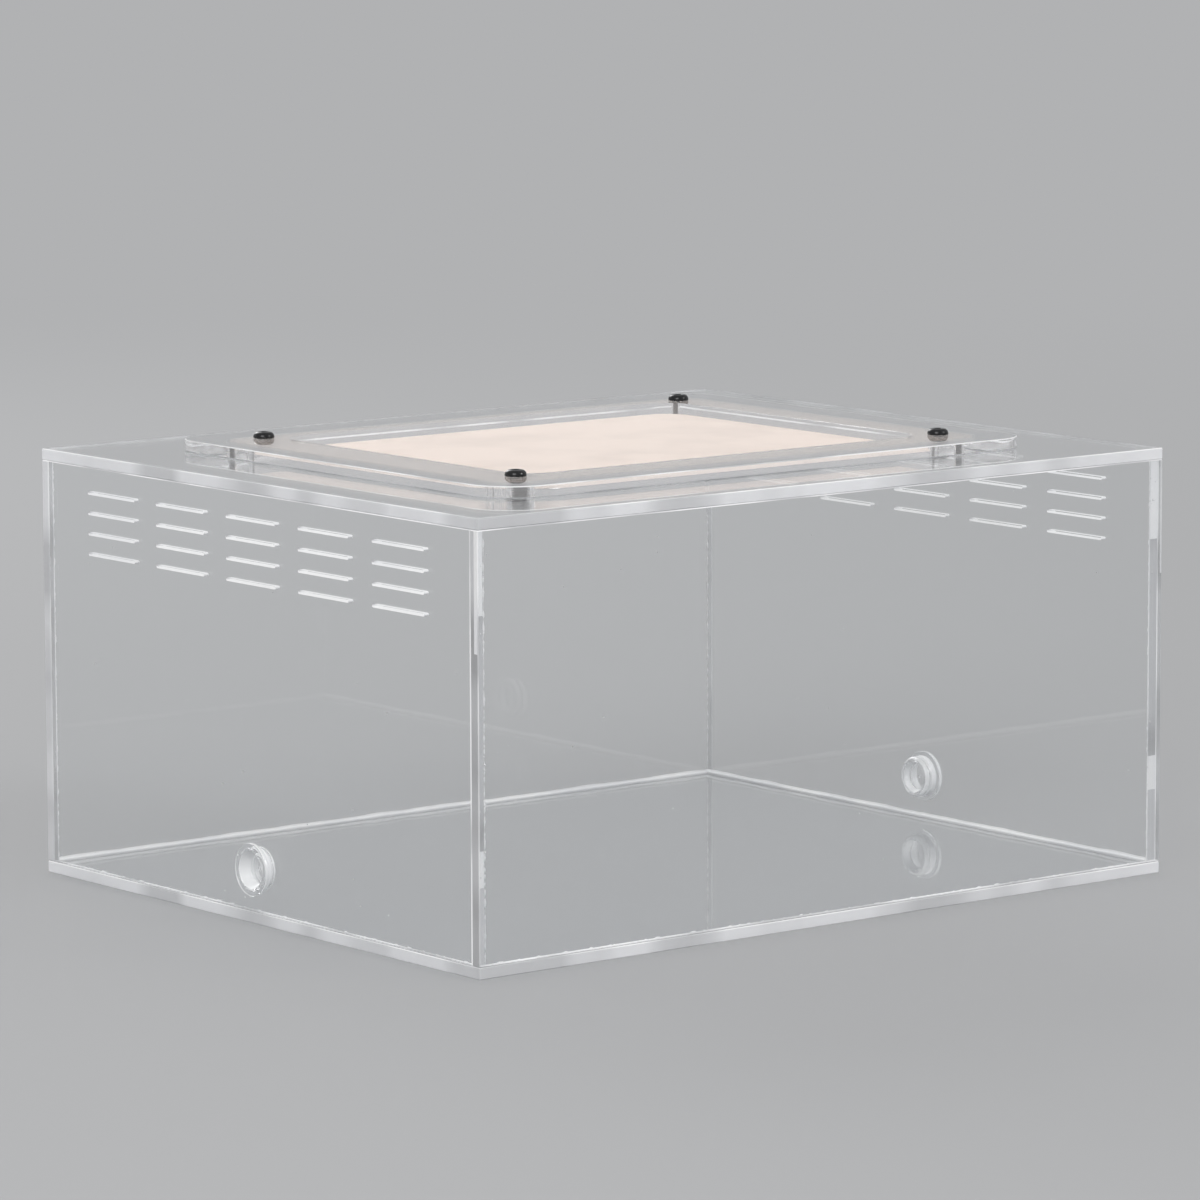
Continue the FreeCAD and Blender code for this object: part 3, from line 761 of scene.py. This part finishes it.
def moulding(name, clear, speck, transmission, passed):
    """A finish of the plugs' clear plastic, with the mould's faint ripples.

    The first two numbers are the roughness of the plastic and of the dust specks on it.
    """
    made, tree = new_material(name)
    marks = effect(tree, "sheet_marks", sheet_marks_group, {
        "Clear Roughness": clear, "Speck Roughness": speck, "Speck Cell": 0.003, "Speck Size": 0.0003,
    })
    surface(tree, marks, {
        "Base Color": (0.98, 0.985, 0.99, 1.0), "Transmission Weight": transmission, "IOR": 1.47,
    }, relief=(0.0004, 0.3), passed=passed)
    return made


def clear_moulding():
    """The plugs' flat faces, as clear as glass."""
    return moulding("clear_moulding", clear=0.04, speck=0.5, transmission=0.94,
                    passed=(0.93, 0.935, 0.94))


def satin_moulding():
    """The cup's wall, the rim and the ribs, which the mould leaves satin."""
    return moulding("satin_moulding", clear=0.22, speck=0.6, transmission=0.3,
                    passed=(0.9, 0.905, 0.91))


def material(name, build, *arguments):
    """The material of that name, built the first time it is asked for."""
    return bpy.data.materials.get(name) or build(*arguments)


# ---------------------------------------------------------------- meshes

def stand_for(made, body, slot, *nodes):
    """Put a finished piece on its body in place of its CAD nodes."""
    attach(made, body)
    if nodes:
        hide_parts(*nodes)


def join(objects, name):
    """One object with the meshes of all of these, which lie at the origin."""
    whole = bmesh.new()
    for piece in objects:
        whole.from_mesh(piece.data)
    mesh = objects[0].data
    whole.to_mesh(mesh)
    whole.free()
    for piece in objects[1:]:
        spare = piece.data
        bpy.data.objects.remove(piece)
        bpy.data.meshes.remove(spare)
    objects[0].name = mesh.name = name
    return objects[0]


def ease_edges(mesh, extent, corner, cut, arris, opening):
    """Cut a narrow flat along every sharp edge of a flat sheet.

    The last three are material slots: of the cut edges as they come, of the flats on the outline and
    of the walls of the openings.
    """
    sheet = bpy.context.scene.habitat.sheet
    shape = bmesh.new()
    shape.from_mesh(mesh)

    def on_outline(place):
        """Tell a place on the outline, round corners and all, from one on an opening."""
        inside = min(extent[0] / 2 - abs(place.x), extent[1] / 2 - abs(place.y))
        # The middle of a round corner lies 0.3 of its radius inside the square one.
        return inside < 0.3 * corner + 0.1 * MM

    for outer, width, slot in ((False, sheet.laser_arris, cut), (True, sheet.arris, arris)):
        sharp = [e for e in shape.edges if e.is_manifold and e.calc_face_angle() > EASED_ANGLE
                 and on_outline((e.verts[0].co + e.verts[1].co) / 2) == outer]
        bmesh.ops.bevel(shape, geom=sharp, offset=width, offset_type="OFFSET", segments=1, profile=0.5,
                        affect="EDGES", material=slot, clamp_overlap=True)
    bmesh.ops.dissolve_degenerate(shape, edges=shape.edges, dist=TINY / 10)
    for face in shape.faces:
        if face.material_index == cut and not on_outline(face.calc_center_median()):
            face.material_index = opening
    shape.to_mesh(mesh)
    shape.free()
    mesh.shade_smooth()
    mesh.set_sharp_from_angle(angle=SHEET_CREASE)


# For each axis that a sheet's thickness can run along: the directions of its length and its width.
# With the thickness they turn the same way round as X, Y and Z, so that no sheet is mirrored.
SHEET_AXES = {"x": ((0, 1, 0), (0, 0, 1)), "y": ((0, 0, 1), (1, 0, 0)), "z": ((1, 0, 0), (0, 1, 0))}


def cut_sheet(name, node, axis, edge, opening_edge=None, **cuts):
    """A sheet where its CAD node is, with the thickness along the axis and its openings as given."""
    low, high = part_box(node)
    extent, centre = high - low, (low + high) / 2
    along, across = (Vector(direction) for direction in SHEET_AXES[axis])
    normal = along.cross(across)
    values = {
        "Length": abs(extent.dot(along)), "Width": abs(extent.dot(across)),
        "Thickness": abs(extent.dot(normal)),
        "Face": material("polished_acrylic", polished_acrylic),
        "Cut Edge": material(f"{edge.__name__}_{axis}", edge, axis),
    }
    values.update({label.replace("_", " ").title(): value for label, value in cuts.items()})
    made = run_tree(name, shared_group("laser_cut_sheet", laser_cut_sheet_tree), values)
    for kind in (arris_painted_highlight, opening_edge or edge):
        made.data.materials.append(material(f"{kind.__name__}_{axis}", kind, axis))
    ease_edges(made.data, (values["Length"], values["Width"]), values.get("Corner", 0.0), cut=1, arris=2,
               opening=3)
    turn = Matrix((along, across, normal)).transposed().to_4x4()
    seat = centre - normal * values["Thickness"] / 2
    made.data.transform(Matrix.Translation(seat) @ turn)
    return made


def polar(radius, angle, z):
    """A point from its distance from Z, its direction and its height."""
    return Vector((radius * math.cos(angle), radius * math.sin(angle), z))


def hexagon_radius(across_flats, angle):
    """Distance from the centre of a hexagon to its outline in that direction."""
    half_turn = HEXAGON_TURN / 2
    return across_flats / 2 / math.cos((angle + half_turn) % HEXAGON_TURN - half_turn)


def skin(shape, rings, closed=False):
    """Join rings of as many vertices each with faces, and the last to the first if closed."""
    pairs = list(zip(rings, rings[1:]))
    if closed:
        pairs.append((rings[-1], rings[0]))
    for lower, upper in pairs:
        for i, corner in enumerate(lower):
            following = (i + 1) % len(lower)
            shape.faces.new((corner, lower[following], upper[following], upper[i]))


def ring(shape, steps, radius, z):
    """One ring of vertices. The radius and the height may be functions of the angle."""
    corners = []
    for i in range(steps):
        angle = math.tau * i / steps
        reach = radius(angle) if callable(radius) else radius
        height = z(angle) if callable(z) else z
        corners.append(shape.verts.new(polar(reach, angle, height)))
    return corners


def cap(shape, corners, z):
    """Close a ring with a fan to a point on the axis."""
    tip = shape.verts.new((0.0, 0.0, z))
    for i, corner in enumerate(corners):
        shape.faces.new((corner, corners[(i + 1) % len(corners)], tip))


def rounded(radius, z, bend, quarter, steps=6):
    """Points of a round edge, as (radius, height), whose arc starts at this quarter turn."""
    return [
        (radius + bend * math.cos(math.radians(quarter * 90 + 90 * i / steps)),
         z + bend * math.sin(math.radians(quarter * 90 + 90 * i / steps)))
        for i in range(steps + 1)
    ]


def as_object(shape, name):
    """Turn a finished bmesh into a smooth-shaded object with sharp creases."""
    bmesh.ops.recalc_face_normals(shape, faces=shape.faces)
    mesh = bpy.data.meshes.new(name)
    shape.to_mesh(mesh)
    shape.free()
    mesh.shade_smooth()
    mesh.set_sharp_from_angle(angle=TURNED_CREASE)
    made = bpy.data.objects.new(name, mesh)
    bpy.context.scene.collection.objects.link(made)
    return made


def put_at_corners(name, shape, height, nodes):
    """Copies of a finished bmesh at the lid's four screw places and at that height, for these nodes."""
    piece = as_object(shape, f"one_of_{name}")
    spread = screw_spread()
    made = run_tree(name, shared_group("four_corners", four_corners_tree), {
        "Piece": piece, "Length": spread.x, "Width": spread.y, "Seed": SOCKET_SEED,
        "Material": material("black_oxide", black_oxide),
    })
    made.data.transform(Matrix.Translation((0.0, 0.0, height)))
    spare = piece.data
    bpy.data.objects.remove(piece)
    bpy.data.meshes.remove(spare)
    stand_for(made, "lid", "black_steel", *(f"{nodes}_{corner}" for corner in LID_CORNERS))


def screw_spread():
    """The distances between the lid's screws in X and Y."""
    front_left, back_right = (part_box(f"lid_screw_{corner}") for corner in ("front_left", "back_right"))
    return sum(back_right, Vector()) / 2 - sum(front_left, Vector()) / 2


# ---------------------------------------------------------------- operators

class HABITAT_OT_walls(bpy.types.Operator):
    """Make the base, the roof and the four walls."""

    bl_idname = "habitat.walls"
    bl_label = "Box Panels"

    def execute(self, context):
        sheet = context.scene.habitat.sheet
        frame_low, frame_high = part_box("clamp_frame")
        hatch = frame_high - frame_low + 2 * Vector((sheet.hatch_clearance,) * 3)
        wall_low, wall_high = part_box("left_panel")
        middle = (wall_low.z + wall_high.z) / 2
        slots_middle = (ROOF_TOP - sheet.slot_top_drop
                        - (sheet.slot_rows - 1) * sheet.slot_row_pitch / 2)
        made = {
            "base_panel": cut_sheet("base_sheet", "base_panel", "z", milled_edge),
            "top_panel": cut_sheet(
                "roof_sheet", "top_panel", "z", milled_edge, opening_length=hatch.x, opening_width=hatch.y,
                opening_corner=sheet.frame_corner + sheet.hatch_clearance),
            "front_panel": cut_sheet("front_sheet", "front_panel", "y", end_painted_highlights),
            "back_panel": cut_sheet("back_sheet", "back_panel", "y", milled_edge),
        }
        for side in ("left", "right"):
            made[f"{side}_panel"] = cut_sheet(
                f"{side}_vented_sheet", f"{side}_panel", "x", end_painted_highlights, slot_painted_glow,
                opening_length=sheet.port_diameter, opening_width=sheet.port_diameter,
                opening_corner=sheet.port_diameter * ROUND_PORT,
                opening_place=(0.0, sheet.port_rise - middle, 0.0),
                hole_length=sheet.slot_length, hole_width=sheet.slot_opening,
                columns=sheet.slot_columns, rows=sheet.slot_rows,
                column_pitch=sheet.slot_column_pitch, row_pitch=sheet.slot_row_pitch,
                holes_place=(0.0, slots_middle - middle, 0.0))
        for node, piece in made.items():
            stand_for(piece, "case", "clear_acrylic", node)
        return {"FINISHED"}


class HABITAT_OT_lid_sheets(bpy.types.Operator):
    """Make the lid plate and the frame that clamps the mesh under it."""

    bl_idname = "habitat.lid_sheets"
    bl_label = "Lid Plate and Frame"

    def execute(self, context):
        sheet = context.scene.habitat.sheet
        low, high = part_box("lid_plate")
        rims = Vector((sheet.window_rim_x, sheet.window_rim_y, 0.0))
        window = high - low - 2 * rims
        spread = screw_spread()
        corners = {"lid_plate": sheet.plate_corner, "clamp_frame": sheet.frame_corner}
        for node, corner in corners.items():
            piece = cut_sheet(
                f"{node}_sheet", node, "z", laser_edge, corner=corner,
                opening_length=window.x, opening_width=window.y, opening_corner=sheet.window_corner,
                hole_length=sheet.screw_hole, hole_width=sheet.screw_hole, columns=2, rows=2,
                column_pitch=spread.x, row_pitch=spread.y)
            stand_for(piece, "lid", "clear_acrylic", node)
        return {"FINISHED"}


class HABITAT_OT_mesh(bpy.types.Operator):
    """Make the steel mesh that is clamped under the lid plate."""

    bl_idname = "habitat.mesh"
    bl_label = "Steel Mesh"

    def execute(self, context):
        low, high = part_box("vent_mesh")
        settings, sheet = context.scene.habitat.mesh, context.scene.habitat.sheet
        spread = screw_spread()
        made = run_tree("wire_mesh", wire_cloth_tree(), {
            "Length": high.x - low.x - settings.wire, "Width": high.y - low.y - settings.wire,
            "Corner": sheet.frame_corner, "Pitch": settings.pitch, "Wire": settings.wire,
            "Hole": sheet.screw_hole, "Hole Place": (spread.x / 2, spread.y / 2, 0.0),
            "Material": material("steel_wire_with_painted_sheen", steel_wire_with_painted_sheen),
        })
        made.data.transform(Matrix.Translation((0.0, 0.0, (low.z + high.z) / 2)))
        stand_for(made, "lid", "steel_mesh", "vent_mesh")
        return {"FINISHED"}


class HABITAT_OT_screws(bpy.types.Operator):
    """Make the four button-head screws."""

    bl_idname = "habitat.screws"
    bl_label = "Lid Screws"

    def execute(self, context):
        settings = context.scene.habitat.fastener
        low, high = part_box("lid_screw_front_left")
        seat = high.z - settings.head_height - low.z
        head, top = (high.x - low.x) / 2, settings.head_height
        steps, turn_steps, dome_steps = 48, 6, 10
        tip_bevel, neck, plain_neck, socket_bevel = 0.35 * MM, 0.6 * MM, 0.45 * MM, 0.15 * MM
        brim, brim_height, dome_reach = 0.25 * MM, 0.45 * MM, 1.7 * MM
        shank_drop, socket_cone = 0.05 * MM, 0.35 * MM
        shape = bmesh.new()

        # The tip is turned down to under the thread's root. A sharpness of 1 is a plain V thread.
        crest, depth, sharpness = settings.diameter / 2, settings.thread_depth, 1.3
        tip = crest - 1.6 * depth

        def thread(z):
            """The thread's outline at that height, as a function of the angle."""
            def reach(angle):
                turn = (z / settings.thread_pitch - angle / math.tau) % 1.0
                return crest - depth * abs(2 * turn - 1) ** sharpness
            return reach

        # From the tip up the thread, out under the head, round the dome and down into the socket.
        rings = [ring(shape, steps, tip, -seat)]
        z = tip_bevel - seat
        while z < -neck:
            rings.append(ring(shape, steps, thread(z), z))
            z += settings.thread_pitch / turn_steps
        plain = crest - shank_drop
        outline = [(plain, -plain_neck), (plain, 0.0), (head - brim, 0.0)]
        outline += rounded(head - brim, brim, brim, 3)
        for i in range(dome_steps + 1):
            angle = math.radians(90 * i / dome_steps)
            outline.append((head - dome_reach * (1 - math.cos(angle)),
                            brim_height + (top - brim_height) * math.sin(angle)))
        rings += [ring(shape, steps, radius, height) for radius, height in outline]
        bottom = top - settings.socket_depth
        for wider, height in ((2 * socket_bevel, top), (0.0, top - socket_bevel), (0.0, bottom)):
            flats = settings.socket + wider
            rings.append(ring(shape, steps, lambda a, flats=flats: hexagon_radius(flats, a), height))
        skin(shape, rings)
        cap(shape, rings[0], -seat)
        cap(shape, rings[-1], bottom - socket_cone)
        put_at_corners("lid_screws", shape, low.z + seat, "lid_screw")
        return {"FINISHED"}


class HABITAT_OT_nuts(bpy.types.Operator):
    """Make the four hexagon nuts."""

    bl_idname = "habitat.nuts"
    bl_label = "Lid Nuts"

    def execute(self, context):
        settings = context.scene.habitat.fastener
        low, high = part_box("lid_nut_front_left")
        thickness, flats = high.z - low.z, settings.nut_flats
        steps, lead, clearance, facing = 72, 0.35 * MM, 0.02 * MM, 0.1 * MM
        chamfer_angle = math.radians(30)
        bore = settings.diameter / 2 + clearance
        round_face = flats / 2 - facing

        def outline(angle):
            """The hexagon's reach in that direction."""
            return hexagon_radius(flats, angle)

        def chamfer(angle):
            """How far the turned corner is cut down in that direction."""
            return (outline(angle) - round_face) * math.tan(chamfer_angle)

        shape = bmesh.new()
        rings = [ring(shape, steps, radius, z) for radius, z in (
            (bore, lead), (bore + lead, 0.0), (round_face, 0.0), (outline, chamfer),
            (outline, lambda a: thickness - chamfer(a)), (round_face, thickness),
            (bore + lead, thickness), (bore, thickness - lead))]
        skin(shape, rings, closed=True)
        put_at_corners("lid_nuts", shape, low.z, "lid_nut")
        return {"FINISHED"}


class HABITAT_OT_plugs(bpy.types.Operator):
    """Make the two moulded cup plugs."""

    bl_idname = "habitat.plugs"
    bl_label = "Port Plugs"

    # The mould's gate leaves a small dimple in the middle of the cup's floor: radius and depth, in mm.
    DIMPLE = ((0.9, 0.0), (0.75, 0.12), (0.3, 0.2))

    def execute(self, context):
        settings = context.scene.habitat.plug
        steps = 72
        for side, outwards in (("left", -1), ("right", 1)):
            node = f"{side}_port_plug"
            low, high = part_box(node)
            centre = (low + high) / 2
            tip = outwards * (low if outwards < 0 else high).x
            inner = outwards * (high if outwards < 0 else low).x
            seat = tip - settings.flange
            shape = bmesh.new()
            outline = self.profile(settings, (high.z - low.z) / 2, inner - seat)
            rings = [ring(shape, steps, radius, z) for radius, z in outline]
            skin(shape, rings)
            cap(shape, rings[0], outline[0][1])
            cap(shape, rings[-1], outline[-1][1])
            made = as_object(shape, f"{side}_clear_plug")
            for face in made.data.polygons:
                is_wall = abs(face.normal.z) < 0.7
                face.material_index = int(is_wall)
            turn = Matrix.Rotation(math.radians(90 * outwards), 4, "Y")
            made.data.transform(Matrix.Translation((outwards * seat, centre.y, centre.z)) @ turn)
            for finish in (clear_moulding, satin_moulding):
                made.data.materials.append(material(finish.__name__, finish))
            stand_for(made, f"{side}_plug", "clear_plug", node)
        return {"FINISHED"}

    def profile(self, settings, flange, end):
        """Half section from the middle of the floor's inner side round to the middle of its outer side."""
        barrel, lead = settings.barrel / 2, settings.lead
        floor = settings.flange - settings.cup_depth
        web = floor - settings.floor
        hollow, hollow_bore = settings.recess / 2, settings.recess_bore / 2
        soft, draft, root = 0.15 * MM, 0.04 * MM, 0.12 * MM
        outline = [
            (hollow_bore - soft, web), (hollow_bore, web - soft), (hollow - draft, end + soft),
            (hollow + soft, end), (barrel - lead - soft, end),
            (barrel - lead + soft, end + 0.6 * soft), (barrel - soft, end + lead - soft),
            (barrel, end + lead + soft),
        ]
        # The grooves are dished, so that the ribs between them are round.
        steps = 8
        for i in reversed(range(1, settings.ribs)):
            lower = -settings.rib_pitch * i - settings.groove
            for step in range(steps + 1):
                dish = (1 - math.cos(math.tau * step / steps)) / 2
                outline.append((barrel - settings.groove_depth * dish,
                                lower + settings.groove * step / steps))
        outline += [(barrel, -root), (barrel + root, 0.0)]
        bend, lip = 0.4 * MM, 0.3 * MM
        outline += rounded(flange - bend, bend, bend, 3)
        outline += rounded(flange - bend, settings.flange - bend, bend, 0)
        outline += rounded(settings.mouth / 2 + lip, settings.flange - lip, lip, 1, 4)
        bore = settings.floor_bore / 2
        outline += [(bore + 0.2 * MM, floor + 0.5 * MM), (bore, floor + root), (bore - 0.3 * MM, floor)]
        return outline + [(radius * MM, floor - depth * MM) for radius, depth in self.DIMPLE]


class HABITAT_OT_welds(bpy.types.Operator):
    """Make the solvent cement's fillets and trapped bubbles in the box's joints."""

    bl_idname = "habitat.welds"
    bl_label = "Cemented Joints"

    EVEN = {"Step": 2.5 * MM, "Drops per Metre": 45.0, "Thinnest": 0.8}
    IN_DROPS = {"Step": 0.7 * MM, "Drops per Metre": 260.0, "Thinnest": 0.1}
    CLEARANCE = 0.02 * MM
    # So far apart in the noise, two fillets don't look alike.
    SEED_STEP = 7.3

    def execute(self, context):
        settings = context.scene.habitat.weld
        inner = self.room_inside()
        beads = [self.bead(settings, i, *edge) for i, edge in enumerate(self.edges(inner))]
        stand_for(join(beads, "cement_fillets"), "case", "clear_acrylic")
        bubbles = [self.bubbles(settings, i, *strip) for i, strip in enumerate(self.strips(inner))]
        stand_for(join(bubbles, "cement_bubbles"), "case", "clear_acrylic")
        return {"FINISHED"}

    def room_inside(self):
        """The two outermost corners of the room between the walls, the base and the roof."""
        base, front, back, left, right = (
            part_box(f"{side}_panel") for side in ("base", "front", "back", "left", "right"))
        return (Vector((left[1].x, front[1].y, base[1].z)),
                Vector((right[0].x, back[0].y, ROOF_BOTTOM)))

    def edges(self, room):
        """Each inner edge as its start, its end and the directions along the two walls that meet in it."""
        for axis in range(3):
            first, second = (other for other in range(3) if other != axis)
            for a in (0, 1):
                for b in (0, 1):
                    start, end = Vector(room[0]), Vector(room[1])
                    start[first] = end[first] = room[a][first]
                    start[second] = end[second] = room[b][second]
                    into_a, into_b = Vector(), Vector()
                    into_a[first], into_b[second] = 1 - 2 * a, 1 - 2 * b
                    yield start, end, into_a, into_b

    def strips(self, room):
        """Each cemented joint as the start and end of its inner edge and the direction across it."""
        for start, end, into_a, into_b in self.edges(room):
            along = (end - start).normalized()
            if abs(along.z) > 0.5:
                # The end walls stand between the long walls, so this joint runs out sideways.
                yield start, end, Vector((-(into_a + into_b).x, 0.0, 0.0))
            else:
                outwards = -(into_a + into_b)
                outwards.z = 0.0
                yield start, end, outwards

    def place(self, start, along, first, second):
        """The turn and shift that take +X, +Y and +Z to these directions, without mirroring."""
        if along.dot(first.cross(second)) < 0:
            first, second = second, first
        return Matrix.Translation(start) @ Matrix((along, first, second)).transposed().to_4x4()

    def bead(self, settings, i, start, end, into_a, into_b):
        """One fillet, a hair clear of the two panels.

        Along the base, under the back and right walls, it is wide and even, and elsewhere in drops.
        """
        along = (end - start).normalized()
        rear = into_b.z > 0 and min(into_a) < 0
        shape = self.EVEN if rear else self.IN_DROPS
        made = run_tree(f"fillet_{i}", shared_group("weld_bead", weld_bead_tree), {
            "Length": (end - start).length, "Seed": i * self.SEED_STEP,
            "Leg": settings.rear_bead if rear else settings.bead,
            "Material": material("weld_cement", weld_cement), **shape,
        })
        clear = start + (into_a + into_b) * self.CLEARANCE
        made.data.transform(self.place(clear, along, into_a, into_b))
        return made

    def bubbles(self, settings, i, start, end, outwards):
        """The bubbles in one joint."""
        run = end - start
        margin = settings.bubble
        made = run_tree(f"bubbles_{i}", shared_group("weld_bubbles", weld_bubbles_tree), {
            "Length": run.length - 2 * margin, "Width": SHEET_THICKNESS - 2 * margin,
            "Gap": settings.bubble_gap, "Largest": settings.bubble, "Seed": BUBBLE_SEED + i,
            "Material": material("weld_bubble", weld_bubble),
        })
        along = run.normalized()
        matrix = Matrix((along, outwards, along.cross(outwards))).transposed().to_4x4()
        shift = matrix @ Vector((margin, -margin / 2, 0.0))
        made.data.transform(Matrix.Translation(start + shift) @ matrix)
        return made


class HABITAT_OT_stage(bpy.types.Operator):
    """Make the floor, the backdrop, the lamps and the camera."""

    bl_idname = "habitat.stage"
    bl_label = "Stage"

    # The floor lies a hair under the base, and fades into the backdrop between two distances.
    FLOOR_DROP, FLOOR_RADIUS = 0.3 * MM, 30.0
    FADE = (0.45, 2.2)
    CAMERA_PLACE = (-1.383, -1.739, 0.411)
    # Azimuth, tilt and roll, in radians.
    CAMERA_TURN = (-0.6716, 1.4302, -0.0033)
    SENSOR = 36.0
    FOCAL_PIXELS, FRAME_PIXELS = 6423.78, 1200.0
    # Clear sheet behind clear sheet needs more bounces than an opaque object.
    BOUNCES, TRANSPARENT_BOUNCES = 64, 48
    # Each lamp: where it is, its power in watts and its width.
    LAMPS = {
        "key": ((-1.9, -1.3, 1.5), 24.0, 1.3),
        "side": ((1.3, -2.0, 1.5), 14.0, 0.6),
        "rim": ((0.5, 2.1, 1.2), 14.0, 1.0),
    }

    def execute(self, context):
        stage = context.scene.habitat.stage
        self.make_floor(stage)
        self.make_world(stage)
        for name, (place, power, width) in self.LAMPS.items():
            self.make_lamp(name, Vector(place), power, width)
        self.make_camera(context.scene)
        context.scene.view_settings.view_transform = "Standard"
        cycles = context.scene.cycles
        cycles.max_bounces = cycles.transmission_bounces = cycles.glossy_bounces = self.BOUNCES
        cycles.transparent_max_bounces = self.TRANSPARENT_BOUNCES
        return {"FINISHED"}

    def make_floor(self, stage):
        """A wide disc whose colour runs into the backdrop's far from the box."""
        shape = bmesh.new()
        bmesh.ops.create_circle(shape, cap_ends=True, segments=96, radius=self.FLOOR_RADIUS)
        bmesh.ops.translate(shape, verts=shape.verts, vec=(0.0, 0.0, -self.FLOOR_DROP))
        floor = as_object(shape, "floor")
        made, tree = new_material("floor_paper")
        away = calculate_vector(tree, "LENGTH", object_place(tree)).outputs["Value"]
        far = rescale(tree, away, *self.FADE, interpolation_type="SMOOTHSTEP")
        paper = add(tree, "ShaderNodeBsdfPrincipled", {
            "Base Color": tone(stage.floor_colour), "Roughness": 0.85,
        })
        glow = add(tree, "ShaderNodeEmission", {"Color": tone(stage.backdrop_colour)})
        both = add(tree, "ShaderNodeMixShader", {0: far, 1: paper.outputs[0], 2: glow.outputs[0]})
        add(tree, "ShaderNodeOutputMaterial", {"Surface": both.outputs[0]})
        floor.data.materials.append(made)

    def make_world(self, stage):
        """The backdrop where the eye sees it, straight or through the sheet, and soft light elsewhere."""
        world = bpy.data.worlds.new("studio")
        bpy.context.scene.world = world
        world.use_nodes = True
        tree = world.node_tree
        tree.nodes.clear()
        path = add(tree, "ShaderNodeLightPath").outputs
        seen = calculate(tree, "MAXIMUM", path["Is Camera Ray"],
                         calculate(tree, "MAXIMUM", path["Is Glossy Ray"], path["Is Transmission Ray"]))
        light = add(tree, "ShaderNodeBackground", {"Color": WHITE, "Strength": stage.ambient})
        backdrop = add(tree, "ShaderNodeBackground", {"Color": tone(stage.backdrop_colour)})
        both = add(tree, "ShaderNodeMixShader", {0: seen, 1: light.outputs[0], 2: backdrop.outputs[0]})
        add(tree, "ShaderNodeOutputWorld", {"Surface": both.outputs[0]})

    def make_lamp(self, name, place, power, width):
        """A square lamp that points at the box."""
        data = bpy.data.lights.new(name, "AREA")
        data.energy, data.size = power, width
        lamp = bpy.data.objects.new(name, data)
        lamp.location = place
        lamp.rotation_euler = (-place).to_track_quat("-Z", "Y").to_euler()
        bpy.context.scene.collection.objects.link(lamp)

    def make_camera(self, scene):
        """The camera, and the scene's view through it."""
        data = bpy.data.cameras.new("camera")
        data.sensor_width = self.SENSOR
        data.lens = self.SENSOR * self.FOCAL_PIXELS / self.FRAME_PIXELS
        data.clip_start, data.clip_end = 0.01, 100.0
        camera = bpy.data.objects.new("camera", data)
        azimuth, tilt, roll = self.CAMERA_TURN
        turn = (Matrix.Rotation(azimuth, 4, "Z") @ Matrix.Rotation(tilt, 4, "X")
                @ Matrix.Rotation(roll, 4, "Z"))
        camera.matrix_world = Matrix.Translation(self.CAMERA_PLACE) @ turn
        scene.collection.objects.link(camera)
        scene.camera = camera


# ---------------------------------------------------------------- sidebar

class HABITAT_PT_sidebar(bpy.types.Panel):
    """Lists the pieces of the ant habitat and their settings."""

    bl_idname = "HABITAT_PT_sidebar"
    bl_label = "Ant Habitat"
    bl_space_type = "VIEW_3D"
    bl_region_type = "UI"
    bl_category = "Habitat"

    def draw(self, context):
        layout = self.layout
        for operator in OPERATORS:
            layout.operator(operator.bl_idname)
        settings = context.scene.habitat
        for group in ("sheet", "weld", "mesh", "fastener", "plug", "stage"):
            box = layout.box()
            box.label(text=group.title())
            for name in getattr(settings, group).__annotations__:
                box.prop(getattr(settings, group), name)


SETTINGS = (SheetSettings, WeldSettings, MeshSettings, FastenerSettings, PlugSettings, StageSettings,
            HabitatSettings)
OPERATORS = (HABITAT_OT_walls, HABITAT_OT_lid_sheets, HABITAT_OT_mesh, HABITAT_OT_screws,
             HABITAT_OT_nuts, HABITAT_OT_plugs, HABITAT_OT_welds, HABITAT_OT_stage)
CLASSES = SETTINGS + OPERATORS + (HABITAT_PT_sidebar,)


def register():
    for item in CLASSES:
        bpy.utils.register_class(item)
    bpy.types.Scene.habitat = PointerProperty(type=HabitatSettings)


def unregister():
    del bpy.types.Scene.habitat
    for item in reversed(CLASSES):
        bpy.utils.unregister_class(item)


def main():
    register()
    for operator in OPERATORS:
        group, name = operator.bl_idname.split(".")
        getattr(getattr(bpy.ops, group), name)()


if __name__ == "__main__":
    main()
